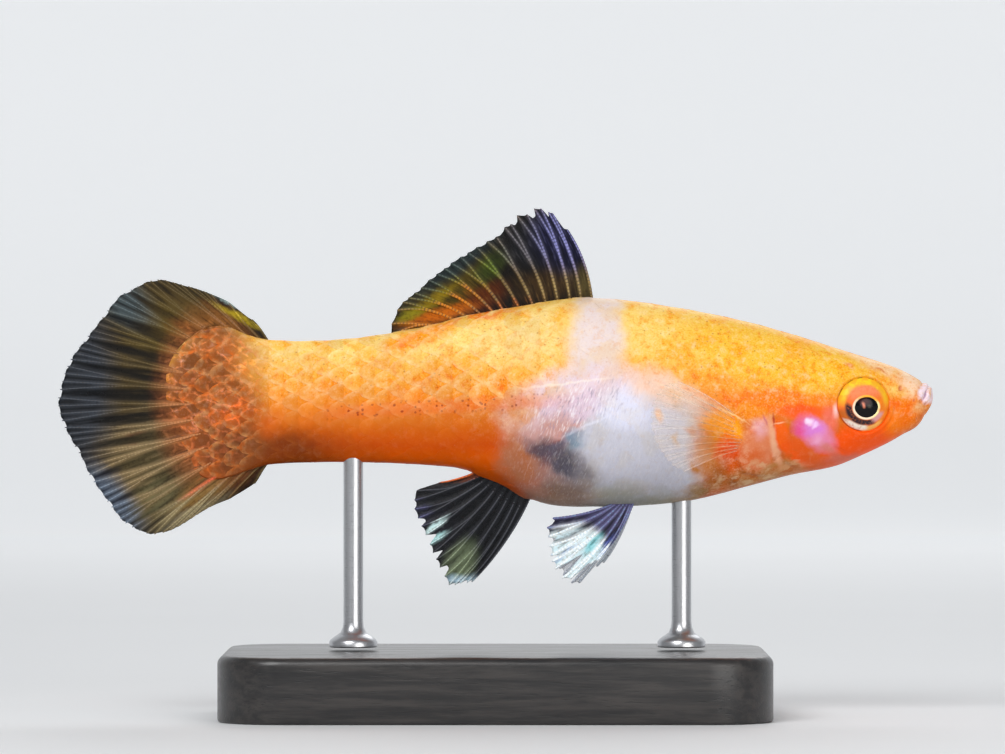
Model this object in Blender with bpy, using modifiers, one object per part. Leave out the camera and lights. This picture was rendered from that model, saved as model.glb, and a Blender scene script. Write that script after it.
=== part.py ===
"""Koi swordtail, a grown female with no sword, as a still life-size model on a plain stand.

Metres, +Z up. The fish faces +X and its right side faces -Y. The origin is the middle of the stand's
underside. The fish's heights are given from the swimming axis, which runs along the middle of the body.
"""

import math
from typing import NamedTuple

import bmesh
import bpy
from mathutils import Matrix, Vector

MM = 0.001

# Whole fish
TOTAL_LENGTH = 80 * MM
SNOUT_X = TOTAL_LENGTH / 2
AXIS_HEIGHT = 29 * MM
GAP = 0.3 * MM


class Station(NamedTuple):
    """One cross-section of the body, in mm, with its edges measured from the swimming axis."""

    name: str
    x: float
    back: float
    belly: float
    widest: float
    half_width: float


STATIONS = (
    Station("tail root", -20.6, 5.4, -6.0, -0.2, 1.3),
    Station("narrow stem", -16.5, 5.3, -5.8, -0.1, 1.8),
    Station("stem", -12.0, 5.65, -5.8, 0.0, 2.3),
    Station("dorsal fin's end", -7.0, 6.5, -6.0, 0.0, 2.8),
    Station("stem's front", -3.0, 7.4, -6.4, -0.1, 3.3),
    Station("anal fin's middle", 0.5, 8.2, -7.5, -0.3, 3.9),
    Station("vent", 3.2, 8.7, -9.1, -0.8, 4.5),
    Station("rear of belly", 5.5, 9.0, -9.75, -1.2, 4.9),
    Station("dorsal fin's front", 9.0, 9.2, -9.85, -1.5, 5.3),
    Station("belly", 12.5, 8.95, -9.8, -1.6, 5.5),
    Station("shoulder", 18.0, 8.1, -9.25, -1.4, 5.4),
    Station("gill edge", 23.0, 7.05, -8.0, -1.0, 5.1),
    Station("nape", 27.0, 5.95, -6.95, -0.7, 4.75),
    Station("cheek", 31.0, 4.7, -6.15, -0.6, 4.35),
    Station("eye", 33.7, 3.85, -5.05, -0.5, 3.9),
    Station("front of eye", 36.0, 3.1, -3.95, -0.3, 3.3),
    Station("snout", 37.2, 2.6, -3.25, -0.2, 2.85),
    Station("mouth", 38.4, 1.95, -2.35, 0.0, 2.3),
    Station("lips", 39.2, 1.4, -1.4, 0.2, 1.7),
)
NOSE_X = STATIONS[-1].x * MM
STEM_END_X = STATIONS[0].x * MM
HEAD_SQUARENESS = 2.5
BODY_SQUARENESS = 2.15
RING_STEP = 1.4 * MM
HEAD_RING_STEP = 0.9 * MM
HEAD_RINGS_FROM = 29 * MM
NOSE_RINGS = 4
LEAST_NOSE = 0.25 * MM
RING_POINTS = 32

# Thin cuts that part the body
HEAD_SEAM_X = 24.6 * MM
STEM_SEAM_X = -3.0 * MM
# The mouth's slit runs from above the lips to the mouth's corner, and on along the jaw's hind edge
MOUTH_CUT = ((39.6, 4.0), (38.9, 1.6), (38.35, -0.6), (35.9, -4.3), (34.2, -8.0))
CUT_HALF_LENGTH = 12 * MM

# Lips, nostrils, eyes and gill covers
LIP_RADIUS = 0.42 * MM
LIP_SINK = 0.12 * MM
LIP_REACH = math.radians(98)
LIP_POINTS = 13
NOSTRILS = ((36.9, 1.1, 0.28), (35.95, 1.9, 0.24))
NOSTRIL_DEPTH = 0.45 * MM
EYE_X = 33.7 * MM
EYE_RISE = -0.55 * MM
EYE_RADIUS = 2.4 * MM
EYE_BULGE = 1.45 * MM
EYE_OFFSET = 3.0 * MM
PUPIL_RADIUS = 1.1 * MM
PUPIL_BULGE = 0.6 * MM
PUPIL_SHIFT = Vector((0.2, 0, -0.3)) * MM
ORBIT_RIM = 0.36 * MM
GILL_COVER = (
    (30.2, -1.6), (27.8, -0.4), (25.2, -0.7), (23.2, -2.0), (22.2, -4.0), (22.7, -5.8), (25.0, -6.7),
    (28.2, -6.3), (30.3, -4.4),
)
GILL_COVER_PROUD = 0.12 * MM
GILL_COVER_THICKNESS = 0.8 * MM


class Fin(NamedTuple):
    """A fin's sizes in mm. The margin runs the same way as the root, from the front or the top end."""

    root: tuple
    margin: tuple
    rays: int
    plain_rays: int
    sweep: float
    root_thickness: float
    taper_share: float
    scallop: float
    wave: float


# The median fins, with their margins along the fish and from the swimming axis
DORSAL_FIN = Fin(
    root=(8.7, -4.6),
    margin=(
        (7.0, 15.4), (5.2, 16.9), (3.6, 17.4), (0.9, 15.9), (-2.5, 13.4), (-6.0, 10.9), (-8.6, 8.7),
        (-9.5, 7.2),
    ),
    rays=13, plain_rays=1, sweep=0.4, root_thickness=1.1, taper_share=0.3, scallop=0.3, wave=0.25,
)
TAIL_FIN = Fin(
    root=(5.0, -5.6),
    margin=(
        (-21.9, 6.9), (-26.6, 9.7), (-31.2, 10.9), (-35.7, 7.9), (-39.2, 2.6), (-40.0, -0.4),
        (-38.1, -5.1), (-34.6, -10.8), (-31.6, -12.4), (-25.7, -9.9), (-21.9, -7.3),
    ),
    rays=19, plain_rays=3, sweep=0.0, root_thickness=2.2, taper_share=0.5, scallop=0.3, wave=0.5,
)
ANAL_FIN = Fin(
    root=(2.9, -2.2),
    margin=(
        (1.9, -11.0), (0.7, -13.0), (-0.8, -15.0), (-2.3, -16.8), (-4.2, -17.0),
        (-5.5, -15.3), (-6.4, -12.9), (-7.2, -10.8), (-7.4, -9.4), (-7.0, -8.2),
    ),
    rays=10, plain_rays=2, sweep=0.2, root_thickness=0.9, taper_share=0.3, scallop=0.35, wave=0.25,
)
# The paired fins, from the middle of the root, each in its own plane
PELVIC_FIN = Fin(
    root=(0.9, -0.9),
    margin=(
        (-1.2, -2.9), (-2.1, -4.2), (-3.6, -5.8), (-5.9, -7.3), (-7.0, -6.3), (-7.3, -4.6), (-7.4, -3.0),
        (-7.2, -1.7),
    ),
    rays=7, plain_rays=1, sweep=0.3, root_thickness=0.8, taper_share=0.35, scallop=0.4, wave=0.2,
)
PECTORAL_FIN = Fin(
    root=(1.4, -1.4),
    margin=((-4.8, 5.2), (-6.6, 4.6), (-7.7, 3.0), (-8.0, 1.2), (-7.4, -0.6), (-6.0, -2.2), (-4.2, -3.2)),
    rays=11, plain_rays=11, sweep=0.3, root_thickness=0.8, taper_share=0.3, scallop=0.2, wave=0.3,
)
PELVIC_ROOT_X = 12.2 * MM
PELVIC_ROOT_ANGLE = math.radians(166)
PELVIC_SPLAY = math.radians(16)
LEFT_PELVIC_TURN = math.radians(-7)
PECTORAL_ROOT_X = 21.2 * MM
PECTORAL_ROOT_RISE = -3.5 * MM
PECTORAL_SPREAD = math.radians(24)
MEMBRANE = 0.5 * MM
MEMBRANE_TIP = 0.3 * MM
RAY_RIDGE = 0.16 * MM
RAY_HALF_WIDTH = 0.2 * MM
WIDEST_RAY = 0.24
RAY_FORK = 0.45
FORK_SPREAD = 0.24
FIN_END_MARGIN = 0.25
NOTCH_FROM = 0.8
DEEPEST_NOTCH = 0.08
THIN_FROM = 0.6
RIDGE_LOSS = 0.5
RIPPLES = 1.1
RIPPLE_START = 0.6
# Where the grid's rows lie, from the root to the margin
FIN_ROWS = (0, 0.14, 0.34, 0.57, 0.8, 1)

# Stand
BASE_LENGTH = 50 * MM
BASE_WIDTH = 32 * MM
BASE_HEIGHT = 6 * MM
BASE_CORNER = 6 * MM
BASE_EDGE = 0.8 * MM
ROD_RADIUS = 0.9 * MM
ROD_FOOT_RADIUS = 2.2 * MM
ROD_FOOT_HEIGHT = 1.2 * MM
ROD_SOCKET_DEPTH = 1.6 * MM
ROD_SIDES = 20
FRONT_ROD_X = 17.0 * MM
REAR_ROD_X = -13.0 * MM

# Each finish: red, green, blue and alpha, then roughness and metallic value
FINISHES = {
    "golden_skin": ((0.90, 0.42, 0.08, 1.0), 0.35, 0.0),
    "white_skin": ((0.78, 0.72, 0.72, 1.0), 0.35, 0.0),
    "orange_skin": ((0.85, 0.25, 0.03, 1.0), 0.35, 0.0),
    "rose_skin": ((0.82, 0.30, 0.22, 1.0), 0.3, 0.0),
    "olive_fin": ((0.30, 0.27, 0.12, 1.0), 0.4, 0.0),
    "clear_fin": ((0.55, 0.60, 0.65, 1.0), 0.35, 0.0),
    "iris": ((0.85, 0.45, 0.12, 1.0), 0.2, 0.0),
    "pupil": ((0.01, 0.01, 0.015, 1.0), 0.08, 0.0),
    "black_base": ((0.03, 0.03, 0.032, 1.0), 0.35, 0.0),
    "steel_rod": ((0.62, 0.62, 0.63, 1.0), 0.28, 1.0),
}

SIDES = {"right": -1, "left": 1}


def clear_scene():
    for obj in list(bpy.data.objects):
        bpy.data.objects.remove(obj)


def new_collection(name):
    collection = bpy.data.collections.new(name)
    bpy.context.scene.collection.children.link(collection)
    return collection


def new_object(name, mesh, collection):
    obj = bpy.data.objects.new(name, mesh)
    collection.objects.link(obj)
    return obj


def mesh_of(name, bm):
    """A mesh holding bm, with its faces pointing out."""
    bmesh.ops.recalc_face_normals(bm, faces=bm.faces)
    mesh = bpy.data.meshes.new(name)
    bm.to_mesh(mesh)
    bm.free()
    return mesh


def make_material(name):
    colour, roughness, metallic = FINISHES[name]
    material = bpy.data.materials.new(name)
    material.use_nodes = True
    shader = material.node_tree.nodes["Principled BSDF"]
    shader.inputs["Base Color"].default_value = colour
    shader.inputs["Roughness"].default_value = roughness
    shader.inputs["Metallic"].default_value = metallic
    material.diffuse_color = colour
    return material


def smooth_values(places, values):
    """A function of place that passes smoothly through the values, with the slopes of a Catmull-Rom curve."""
    last = len(places) - 1

    def slope(i):
        before, after = max(i - 1, 0), min(i + 1, last)
        return (values[after] - values[before]) / (places[after] - places[before])

    def value(place):
        place = min(max(place, places[0]), places[last])
        i = max(k for k in range(last) if places[k] <= place)
        width = places[i + 1] - places[i]
        t = (place - places[i]) / width
        start, end = values[i], values[i + 1]
        bend = (2 * t**3 - 3 * t**2 + 1) * start + (3 * t**2 - 2 * t**3) * end
        return bend + ((t**3 - 2 * t**2 + t) * slope(i) + (t**3 - t**2) * slope(i + 1)) * width

    return value


def body_curve(field):
    """One of the stations' sizes as a smooth function of x, in metres."""
    places = [station.x * MM for station in STATIONS]
    return smooth_values(places, [getattr(station, field) * MM for station in STATIONS])


BACK, BELLY, WIDEST, HALF_WIDTH = (body_curve(field) for field in ("back", "belly", "widest", "half_width"))


def signed_power(value, power):
    return math.copysign(abs(value) ** power, value)


def nose_end(grow):
    return max(SNOUT_X + grow, NOSE_X + LEAST_NOSE)


def body_point(x, angle, grow=0.0):
    """The skin's point at x, with the angle from the back towards the left side, moved outwards by grow."""
    along = min(max(x, STEM_END_X), NOSE_X)
    head_share = min(max((x - HEAD_SEAM_X) / (NOSE_X - HEAD_SEAM_X), 0), 1)
    power = 2 / (BODY_SQUARENESS + (HEAD_SQUARENESS - BODY_SQUARENESS) * head_share)
    beyond = min(max((x - NOSE_X) / (nose_end(grow) - NOSE_X), 0), 1)
    roundness = math.sqrt(1 - beyond**2)
    middle = WIDEST(along)
    rise, drop = BACK(along) + grow - middle, middle - BELLY(along) + grow
    side, up = math.sin(angle), math.cos(angle)
    y = (HALF_WIDTH(along) + grow) * signed_power(side, power) * roundness
    z = middle + (rise if up > 0 else drop) * signed_power(up, power) * roundness
    return Vector((x, y, AXIS_HEIGHT + z))


def angle_at_height(x, rise):
    """The angle on the left side at which the skin is this far above the swimming axis."""
    low, high = 0.0, math.pi
    for _ in range(40):
        middle = (low + high) / 2
        if body_point(x, middle).z - AXIS_HEIGHT > rise:
            low = middle
        else:
            high = middle
    return low


def ring_places(grow):
    """Where the body's rings stand, close together on the head and closer at the nose."""
    places = []
    x = STEM_END_X
    while x < NOSE_X - HEAD_RING_STEP / 2:
        places.append(x)
        x += HEAD_RING_STEP if x >= HEAD_RINGS_FROM else RING_STEP
    nose = nose_end(grow) - NOSE_X
    places += [NOSE_X + nose * math.sin(math.pi / 2 * k / NOSE_RINGS) for k in range(NOSE_RINGS + 1)]
    places[0] -= grow
    return places


def body_mesh(name, grow=0.0):
    """A grid wrapped round the body's sections, closed to a point at the nose and with a face at the tail."""
    places = ring_places(grow)
    bm = bmesh.new()
    bmesh.ops.create_grid(bm, x_segments=RING_POINTS, y_segments=len(places) - 1, size=1)
    for vert in bm.verts:
        ring = round((vert.co.y + 1) / 2 * (len(places) - 1))
        vert.co = body_point(places[ring], math.pi * (vert.co.x + 1), grow)
    bmesh.ops.remove_doubles(bm, verts=bm.verts, dist=MM / 1000)
    bmesh.ops.holes_fill(bm, edges=[edge for edge in bm.edges if edge.is_boundary], sides=0)
    return mesh_of(name, bm)


def islands(mesh):
    """The mesh's closed surfaces as new meshes, the largest volume first."""
    bm = bmesh.new()
    bm.from_mesh(mesh)
    found, unseen = [], set(bm.verts)
    while unseen:
        island, edge_of_search = set(), [unseen.pop()]
        while edge_of_search:
            vert = edge_of_search.pop()
            island.add(vert)
            near = {edge.other_vert(vert) for edge in vert.link_edges} & unseen
            unseen -= near
            edge_of_search.extend(near)
        found.append(island)
    pieces = []
    for island in found:
        part = bmesh.new()
        copies = {vert: part.verts.new(vert.co) for vert in island}
        for face in {face for vert in island for face in vert.link_faces}:
            part.faces.new([copies[vert] for vert in face.verts])
        volume = part.calc_volume()
        piece = bpy.data.meshes.new(mesh.name)
        part.to_mesh(piece)
        part.free()
        pieces.append((volume, piece))
    bm.free()
    return [piece for _, piece in sorted(pieces, key=lambda pair: pair[0], reverse=True)]


def applied(obj):
    """The object's mesh with its modifiers."""
    bpy.context.view_layer.update()
    evaluated = obj.evaluated_get(bpy.context.evaluated_depsgraph_get())
    return bpy.data.meshes.new_from_object(evaluated)


def combine(obj, others, operation):
    """Applies one Boolean of the object with a collection of closed meshes."""
    modifier = obj.modifiers.new(operation.title(), "BOOLEAN")
    modifier.operation = operation
    modifier.solver = "EXACT"
    modifier.operand_type = "COLLECTION"
    modifier.collection = others
    mesh = applied(obj)
    obj.modifiers.clear()
    obj.data = mesh


def group_of(name, meshes):
    """A collection of helper objects, one for each mesh."""
    collection = new_collection(name)
    for number, mesh in enumerate(meshes):
        helper = new_object(f"{name}_{number}", mesh, collection)
        helper.hide_render = True
        helper.display_type = "WIRE"
    return collection


def remove_group(collection):
    for obj in list(collection.objects):
        bpy.data.objects.remove(obj)
    bpy.data.collections.remove(collection)


def join_to(obj, meshes):
    pieces = group_of("joined_pieces", meshes)
    combine(obj, pieces, "UNION")
    remove_group(pieces)


def cut_from(obj, meshes, keep=1):
    """Cuts the meshes from the object and returns what is left as that many pieces, the largest first."""
    cutters = group_of("cutters", meshes)
    combine(obj, cutters, "DIFFERENCE")
    remove_group(cutters)
    return islands(obj.data)[:keep]


def ball_mesh(centre, radii, segments=20, rings=12):
    """An ellipsoid with its poles on Y, with radii along X, Y and Z."""
    bm = bmesh.new()
    bmesh.ops.create_uvsphere(bm, u_segments=segments, v_segments=rings, radius=1)
    turn = Matrix.Rotation(math.pi / 2, 4, "X")
    scale = Matrix.Diagonal((*radii, 1))
    bm.transform(Matrix.Translation(centre) @ scale @ turn)
    return mesh_of("ball", bm)


def rod_mesh(start, end, radius, sides=12):
    """A round bar from one point to another."""
    along = end - start
    bm = bmesh.new()
    bmesh.ops.create_cone(
        bm, cap_ends=True, segments=sides, radius1=radius, radius2=radius, depth=along.length
    )
    bm.transform(Matrix.Translation((start + end) / 2) @ along.to_track_quat("Z", "Y").to_matrix().to_4x4())
    return mesh_of("rod", bm)


def plate_mesh(x):
    """A thin plate across the whole body at x."""
    bm = bmesh.new()
    bmesh.ops.create_cube(bm, size=1)
    size = Matrix.Diagonal((GAP, 2 * CUT_HALF_LENGTH, 3 * CUT_HALF_LENGTH, 1))
    bm.transform(Matrix.Translation((x, 0, AXIS_HEIGHT)) @ size)
    return mesh_of("plate", bm)


def curve_mesh(curve):
    """The curve as a closed mesh, with its caps welded. The curve is removed."""
    obj = new_object("guide", curve, bpy.context.scene.collection)
    bm = bmesh.new()
    bm.from_mesh(applied(obj))
    bm.transform(obj.matrix_world)
    bmesh.ops.remove_doubles(bm, verts=bm.verts, dist=MM / 1000)
    bpy.data.objects.remove(obj)
    return mesh_of("curve", bm)


def tube_mesh(points, radius):
    """A round tube with closed ends through the points."""
    curve = bpy.data.curves.new("tube", "CURVE")
    curve.dimensions = "3D"
    curve.bevel_depth = radius
    curve.bevel_resolution = 2
    curve.use_fill_caps = True
    spline = curve.splines.new("POLY")
    spline.points.add(len(points) - 1)
    for target, point in zip(spline.points, points):
        target.co = (*point, 1)
    return curve_mesh(curve)


def outline_prism(outline, grow, side):
    """A closed outline in X and Z, grown outwards, as a prism from near the middle out past one side."""
    curve = bpy.data.curves.new("outline", "CURVE")
    curve.dimensions = "2D"
    curve.fill_mode = "BOTH"
    curve.extrude = CUT_HALF_LENGTH / 2
    curve.offset = grow
    curve.resolution_u = 4
    spline = curve.splines.new("BEZIER")
    spline.bezier_points.add(len(outline) - 1)
    spline.use_cyclic_u = True
    for target, (x, z) in zip(spline.bezier_points, outline):
        target.co = (x * MM, z * MM, 0)
        target.handle_left_type = target.handle_right_type = "AUTO"
    mesh = curve_mesh(curve)
    mesh.transform(Matrix.Rotation(math.pi / 2, 4, "X"))
    mesh.transform(Matrix.Translation((0, side * (CUT_HALF_LENGTH / 2 + MM), AXIS_HEIGHT)))
    return mesh


def mouth_cut_mesh():
    """The thin cut along the mouth's slit and the jaw's hind edge, as a strip across the head."""
    bm = bmesh.new()
    bmesh.ops.create_grid(bm, x_segments=len(MOUTH_CUT) - 1, y_segments=1, size=1)
    for vert in bm.verts:
        x, z = MOUTH_CUT[round((vert.co.x + 1) / 2 * (len(MOUTH_CUT) - 1))]
        vert.co = Vector((x * MM, vert.co.y * CUT_HALF_LENGTH, AXIS_HEIGHT + z * MM))
    strip = new_object("strip", mesh_of("strip", bm), bpy.context.scene.collection)
    solidify = strip.modifiers.new("Thickness", "SOLIDIFY")
    solidify.thickness = GAP
    solidify.offset = 0
    mesh = applied(strip)
    bpy.data.objects.remove(strip)
    return mesh


def slit_x(rise):
    """The mouth slit's place at a height between the lips' top and the mouth's corner."""
    (top_x, top), (corner_x, corner) = MOUTH_CUT[1], MOUTH_CUT[2]
    return (corner_x + (top_x - corner_x) * (rise / MM - corner) / (top - corner)) * MM


def lip_mesh(shift):
    """A rounded lip over the snout between the mouth's corners, this far in front of the slit."""
    points = []
    for number in range(LIP_POINTS):
        angle = LIP_REACH * (2 * number / (LIP_POINTS - 1) - 1)
        rise = body_point(slit_x(0) + shift, angle).z - AXIS_HEIGHT
        points.append(body_point(slit_x(rise) + shift, angle, -LIP_SINK))
    return tube_mesh(points, LIP_RADIUS)


def eye_centre(side):
    return Vector((EYE_X, side * EYE_OFFSET, AXIS_HEIGHT + EYE_RISE))


def orbit_rim_mesh(side):
    """The low fold of skin round an eye, as a ring that lies on the head's side."""
    points = []
    steps = 24
    for number in range(steps):
        turn = 2 * math.pi * number / steps
        reach = EYE_RADIUS + GAP + ORBIT_RIM * 0.8
        x = EYE_X + reach * math.cos(turn)
        rise = EYE_RISE + reach * math.sin(turn)
        angle = angle_at_height(x, rise)
        point = body_point(x, angle, -ORBIT_RIM * 0.45)
        points.append(Vector((point.x, side * point.y, point.z)))
    curve = bpy.data.curves.new("rim", "CURVE")
    curve.dimensions = "3D"
    curve.bevel_depth = ORBIT_RIM
    curve.bevel_resolution = 1
    spline = curve.splines.new("POLY")
    spline.points.add(len(points) - 1)
    spline.use_cyclic_u = True
    for target, point in zip(spline.points, points):
        target.co = (*point, 1)
    return curve_mesh(curve)


def nostril_meshes(side):
    meshes = []
    for x, rise, radius in NOSTRILS:
        angle = angle_at_height(x * MM, rise * MM)
        outside = body_point(x * MM, side * angle, NOSTRIL_DEPTH)
        inside = body_point(x * MM, side * angle, -NOSTRIL_DEPTH)
        meshes.append(rod_mesh(inside, outside, radius * MM, sides=8))
    return meshes


def cut_mesh(mesh, cutter):
    """One closed mesh with another cut away, as a mesh."""
    obj = new_object("work", mesh, bpy.context.scene.collection)
    piece = cut_from(obj, [cutter])[0]
    bpy.data.objects.remove(obj)
    return piece


def gill_recess_mesh(side):
    """The space that a gill cover lies in, with the gap round and under it."""
    under = body_mesh("under", GILL_COVER_PROUD - GILL_COVER_THICKNESS - GAP)
    return cut_mesh(outline_prism(GILL_COVER, GAP, side), under)


def make_gill_cover(side):
    """The bony flap over the gills: the head's own skin inside the cover's outline, a little proud."""
    cover = new_object("cover", body_mesh("cover", GILL_COVER_PROUD), bpy.context.scene.collection)
    outline = group_of("outline", [outline_prism(GILL_COVER, 0, side)])
    combine(cover, outline, "INTERSECT")
    remove_group(outline)
    under = body_mesh("under", GILL_COVER_PROUD - GILL_COVER_THICKNESS)
    mesh = cut_from(cover, [under])[0]
    bpy.data.objects.remove(cover)
    return mesh


def rod_top(x):
    return AXIS_HEIGHT + BELLY(x) + ROD_SOCKET_DEPTH


def rod_socket_mesh(x):
    """The blind hole that a rod's end sits in, with the gap round and above it."""
    start = Vector((x, 0, AXIS_HEIGHT + BELLY(x) - 2 * MM))
    return rod_mesh(start, Vector((x, 0, rod_top(x) + GAP)), ROD_RADIUS + GAP, ROD_SIDES)


def body_parts():
    """The flesh, modelled whole and parted with thin cuts, as meshes from the tail forwards."""
    flesh = new_object("flesh", body_mesh("flesh"), bpy.context.scene.collection)
    lip_shift = GAP / 2 + LIP_RADIUS * 0.55
    lips = [lip_mesh(-lip_shift), lip_mesh(lip_shift)]
    join_to(flesh, lips + [orbit_rim_mesh(side) for side in SIDES.values()])
    cutters = [plate_mesh(HEAD_SEAM_X), plate_mesh(STEM_SEAM_X), mouth_cut_mesh()]
    cutters += [rod_socket_mesh(FRONT_ROD_X), rod_socket_mesh(REAR_ROD_X)]
    for side in SIDES.values():
        socket = (EYE_RADIUS + GAP, EYE_BULGE + GAP, EYE_RADIUS + GAP)
        cutters.append(ball_mesh(eye_centre(side), socket))
        cutters += nostril_meshes(side)
        cutters.append(gill_recess_mesh(side))
    pieces = cut_from(flesh, cutters, keep=4)
    bpy.data.objects.remove(flesh)
    return sorted(pieces, key=lambda piece: max(vert.co.x for vert in piece.vertices))


def pupil_centre(side):
    depth = EYE_OFFSET + EYE_BULGE - PUPIL_BULGE * 0.7
    return Vector((EYE_X, side * depth, AXIS_HEIGHT + EYE_RISE)) + PUPIL_SHIFT


def eye_mesh(side):
    """The eyeball, hollowed in front for the pupil."""
    ball = ball_mesh(eye_centre(side), (EYE_RADIUS, EYE_BULGE, EYE_RADIUS), segments=24, rings=12)
    hollow = (PUPIL_RADIUS + GAP, PUPIL_BULGE + GAP, PUPIL_RADIUS + GAP)
    return cut_mesh(ball, ball_mesh(pupil_centre(side), hollow))


def margin_curve(fin, placed):
    """A function of share, from 0 to 1 by length, along a smooth line through the fin's margin."""
    points = [placed @ Vector((x * MM, 0, z * MM)) for x, z in fin.margin]
    lengths = [0.0]
    for before, after in zip(points, points[1:]):
        lengths.append(lengths[-1] + (after - before).length)
    axes = [smooth_values(lengths, [point[axis] for point in points]) for axis in range(3)]
    return lambda share: Vector([axis(share * lengths[-1]) for axis in axes])


def fin_point(fin, lines, across, down):
    """A point of the membrane, with across counted in rays and down from 0 at the root to 1 at the margin."""
    root_line, margin_line, normal = lines
    share = (across + FIN_END_MARGIN) / (fin.rays - 1 + 2 * FIN_END_MARGIN)
    root, tip = root_line(share), margin_line(share)
    along = tip - root
    bow = along.cross(normal).normalized() * fin.sweep * MM * 4 * down * (1 - down)
    ripple = normal * fin.wave * MM * down**2 * math.sin(2 * math.pi * RIPPLES * share + RIPPLE_START)
    return root + along * down + bow + ripple


def fork_at(fin, ray, down):
    """How far a ray's two branches stand apart, as a share of the way to the next ray."""
    if not fin.plain_rays <= ray < fin.rays - fin.plain_rays:
        return 0
    return FORK_SPREAD * max(0, (down - RAY_FORK) / (1 - RAY_FORK))


def fin_columns(fin):
    """The grid's columns: for each ray its edges and one ridge, or two ridges and a dip where it forks."""
    columns = []
    for ray in range(fin.rays):
        forks = fork_at(fin, ray, 1) > 0
        sides = (-1, -0.5, 0, 0.5, 1) if forks else (-1, 0, 1)
        columns += [(ray, side, forks) for side in sides]
    return columns


def column_across(fin, lines, column, down):
    """A column's place across the fin, counted in rays."""
    ray, side, _ = column
    neighbour = ray + 1 if ray < fin.rays - 1 else ray - 1
    spacing = (fin_point(fin, lines, ray, down) - fin_point(fin, lines, neighbour, down)).length
    fork = fork_at(fin, ray, down)
    half_width = min(RAY_HALF_WIDTH / spacing, WIDEST_RAY)
    if abs(side) == 0.5:
        return ray + side * 2 * max(fork, half_width * 0.3)
    return ray + side * (fork + half_width)


def fin_reach(fin, lines, column, down):
    """How far down the rays a point lies: the membrane falls a little short of the rays' tips."""
    ray, side, forks = column
    if down <= NOTCH_FROM or (abs(side) == 0.5 if forks else side == 0):
        return down
    length = (fin_point(fin, lines, ray, 1) - fin_point(fin, lines, ray, 0)).length
    notch = min(fin.scallop * MM / length, DEEPEST_NOTCH)
    return down - notch * (down - NOTCH_FROM) / (1 - NOTCH_FROM)


def fin_thickness(fin, column, across, down):
    ray, side, forks = column
    share = (across + FIN_END_MARGIN) / (fin.rays - 1 + 2 * FIN_END_MARGIN)
    taper = (1 - abs(2 * share - 1) ** 3) * max(0, 1 - down / fin.taper_share)
    fleshy = (fin.root_thickness * MM - MEMBRANE) * taper
    thinning = (MEMBRANE - MEMBRANE_TIP) * max(0, (down - THIN_FROM) / (1 - THIN_FROM))
    crest = abs(side) == 0.5 or (side == 0 and not forks)
    merged = side == 0 and forks and fork_at(fin, ray, down) < 0.05
    ridge = 2 * RAY_RIDGE * (1 - RIDGE_LOSS * down) if crest or merged else 0
    return MEMBRANE + fleshy - thinning + ridge


def fin_mesh(fin, lines):
    """A fan of rays raised on a thin membrane: a grid laid along the rays and thickened by a vertex group."""
    columns = fin_columns(fin)
    last_column, last_row = len(columns) - 1, len(FIN_ROWS) - 1
    thickest = fin.root_thickness * MM + 2 * RAY_RIDGE
    bm = bmesh.new()
    bmesh.ops.create_grid(bm, x_segments=last_column, y_segments=last_row, size=1)
    weights = bm.verts.layers.deform.verify()
    for vert in bm.verts:
        column = columns[round((vert.co.x + 1) / 2 * last_column)]
        down = FIN_ROWS[round((vert.co.y + 1) / 2 * last_row)]
        across = column_across(fin, lines, column, down)
        vert.co = fin_point(fin, lines, across, fin_reach(fin, lines, column, down))
        vert[weights][0] = fin_thickness(fin, column, across, down) / thickest
    bmesh.ops.triangulate(bm, faces=bm.faces, quad_method="FIXED")
    sheet = new_object("sheet", mesh_of("sheet", bm), bpy.context.scene.collection)
    sheet.vertex_groups.new(name="thickness")
    solidify = sheet.modifiers.new("Thickness", "SOLIDIFY")
    solidify.thickness = thickest
    solidify.offset = 0
    solidify.vertex_group = "thickness"
    mesh = applied(sheet)
    bpy.data.objects.remove(sheet)
    return mesh


def median_fin(fin, root_point):
    """A fin in the fish's middle plane. root_point gives the root's place from its size along the root."""
    first, last = fin.root
    placed = Matrix.Translation((0, 0, AXIS_HEIGHT))
    lines = (
        lambda share: root_point((first + (last - first) * share) * MM),
        margin_curve(fin, placed),
        Vector((0, 1, 0)),
    )
    return fin_mesh(fin, lines)


def dorsal_root(x):
    return Vector((x, 0, AXIS_HEIGHT + BACK(x) + GAP))


def anal_root(x):
    return Vector((x, 0, AXIS_HEIGHT + BELLY(x) - GAP))


def tail_root(rise):
    return Vector((STEM_END_X - GAP, 0, AXIS_HEIGHT + rise))


def pelvic_fin(side):
    """A pelvic fin under the belly, splayed outwards. The left one is held a little further forward."""
    angle = side * PELVIC_ROOT_ANGLE
    lift = GAP + PELVIC_FIN.root_thickness * MM * math.sin(math.pi - PELVIC_ROOT_ANGLE)
    turn = Matrix.Rotation(LEFT_PELVIC_TURN if side > 0 else 0, 4, "Y")
    splay = Matrix.Rotation(side * PELVIC_SPLAY, 4, "X")
    middle = body_point(PELVIC_ROOT_X, angle, lift)
    placed = Matrix.Translation(middle) @ splay @ turn
    first, last = PELVIC_FIN.root
    lines = (
        lambda share: body_point(PELVIC_ROOT_X + (first + (last - first) * share) * MM, angle, lift),
        margin_curve(PELVIC_FIN, placed),
        (splay @ Vector((0, 1, 0))).normalized(),
    )
    return fin_mesh(PELVIC_FIN, lines)


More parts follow.
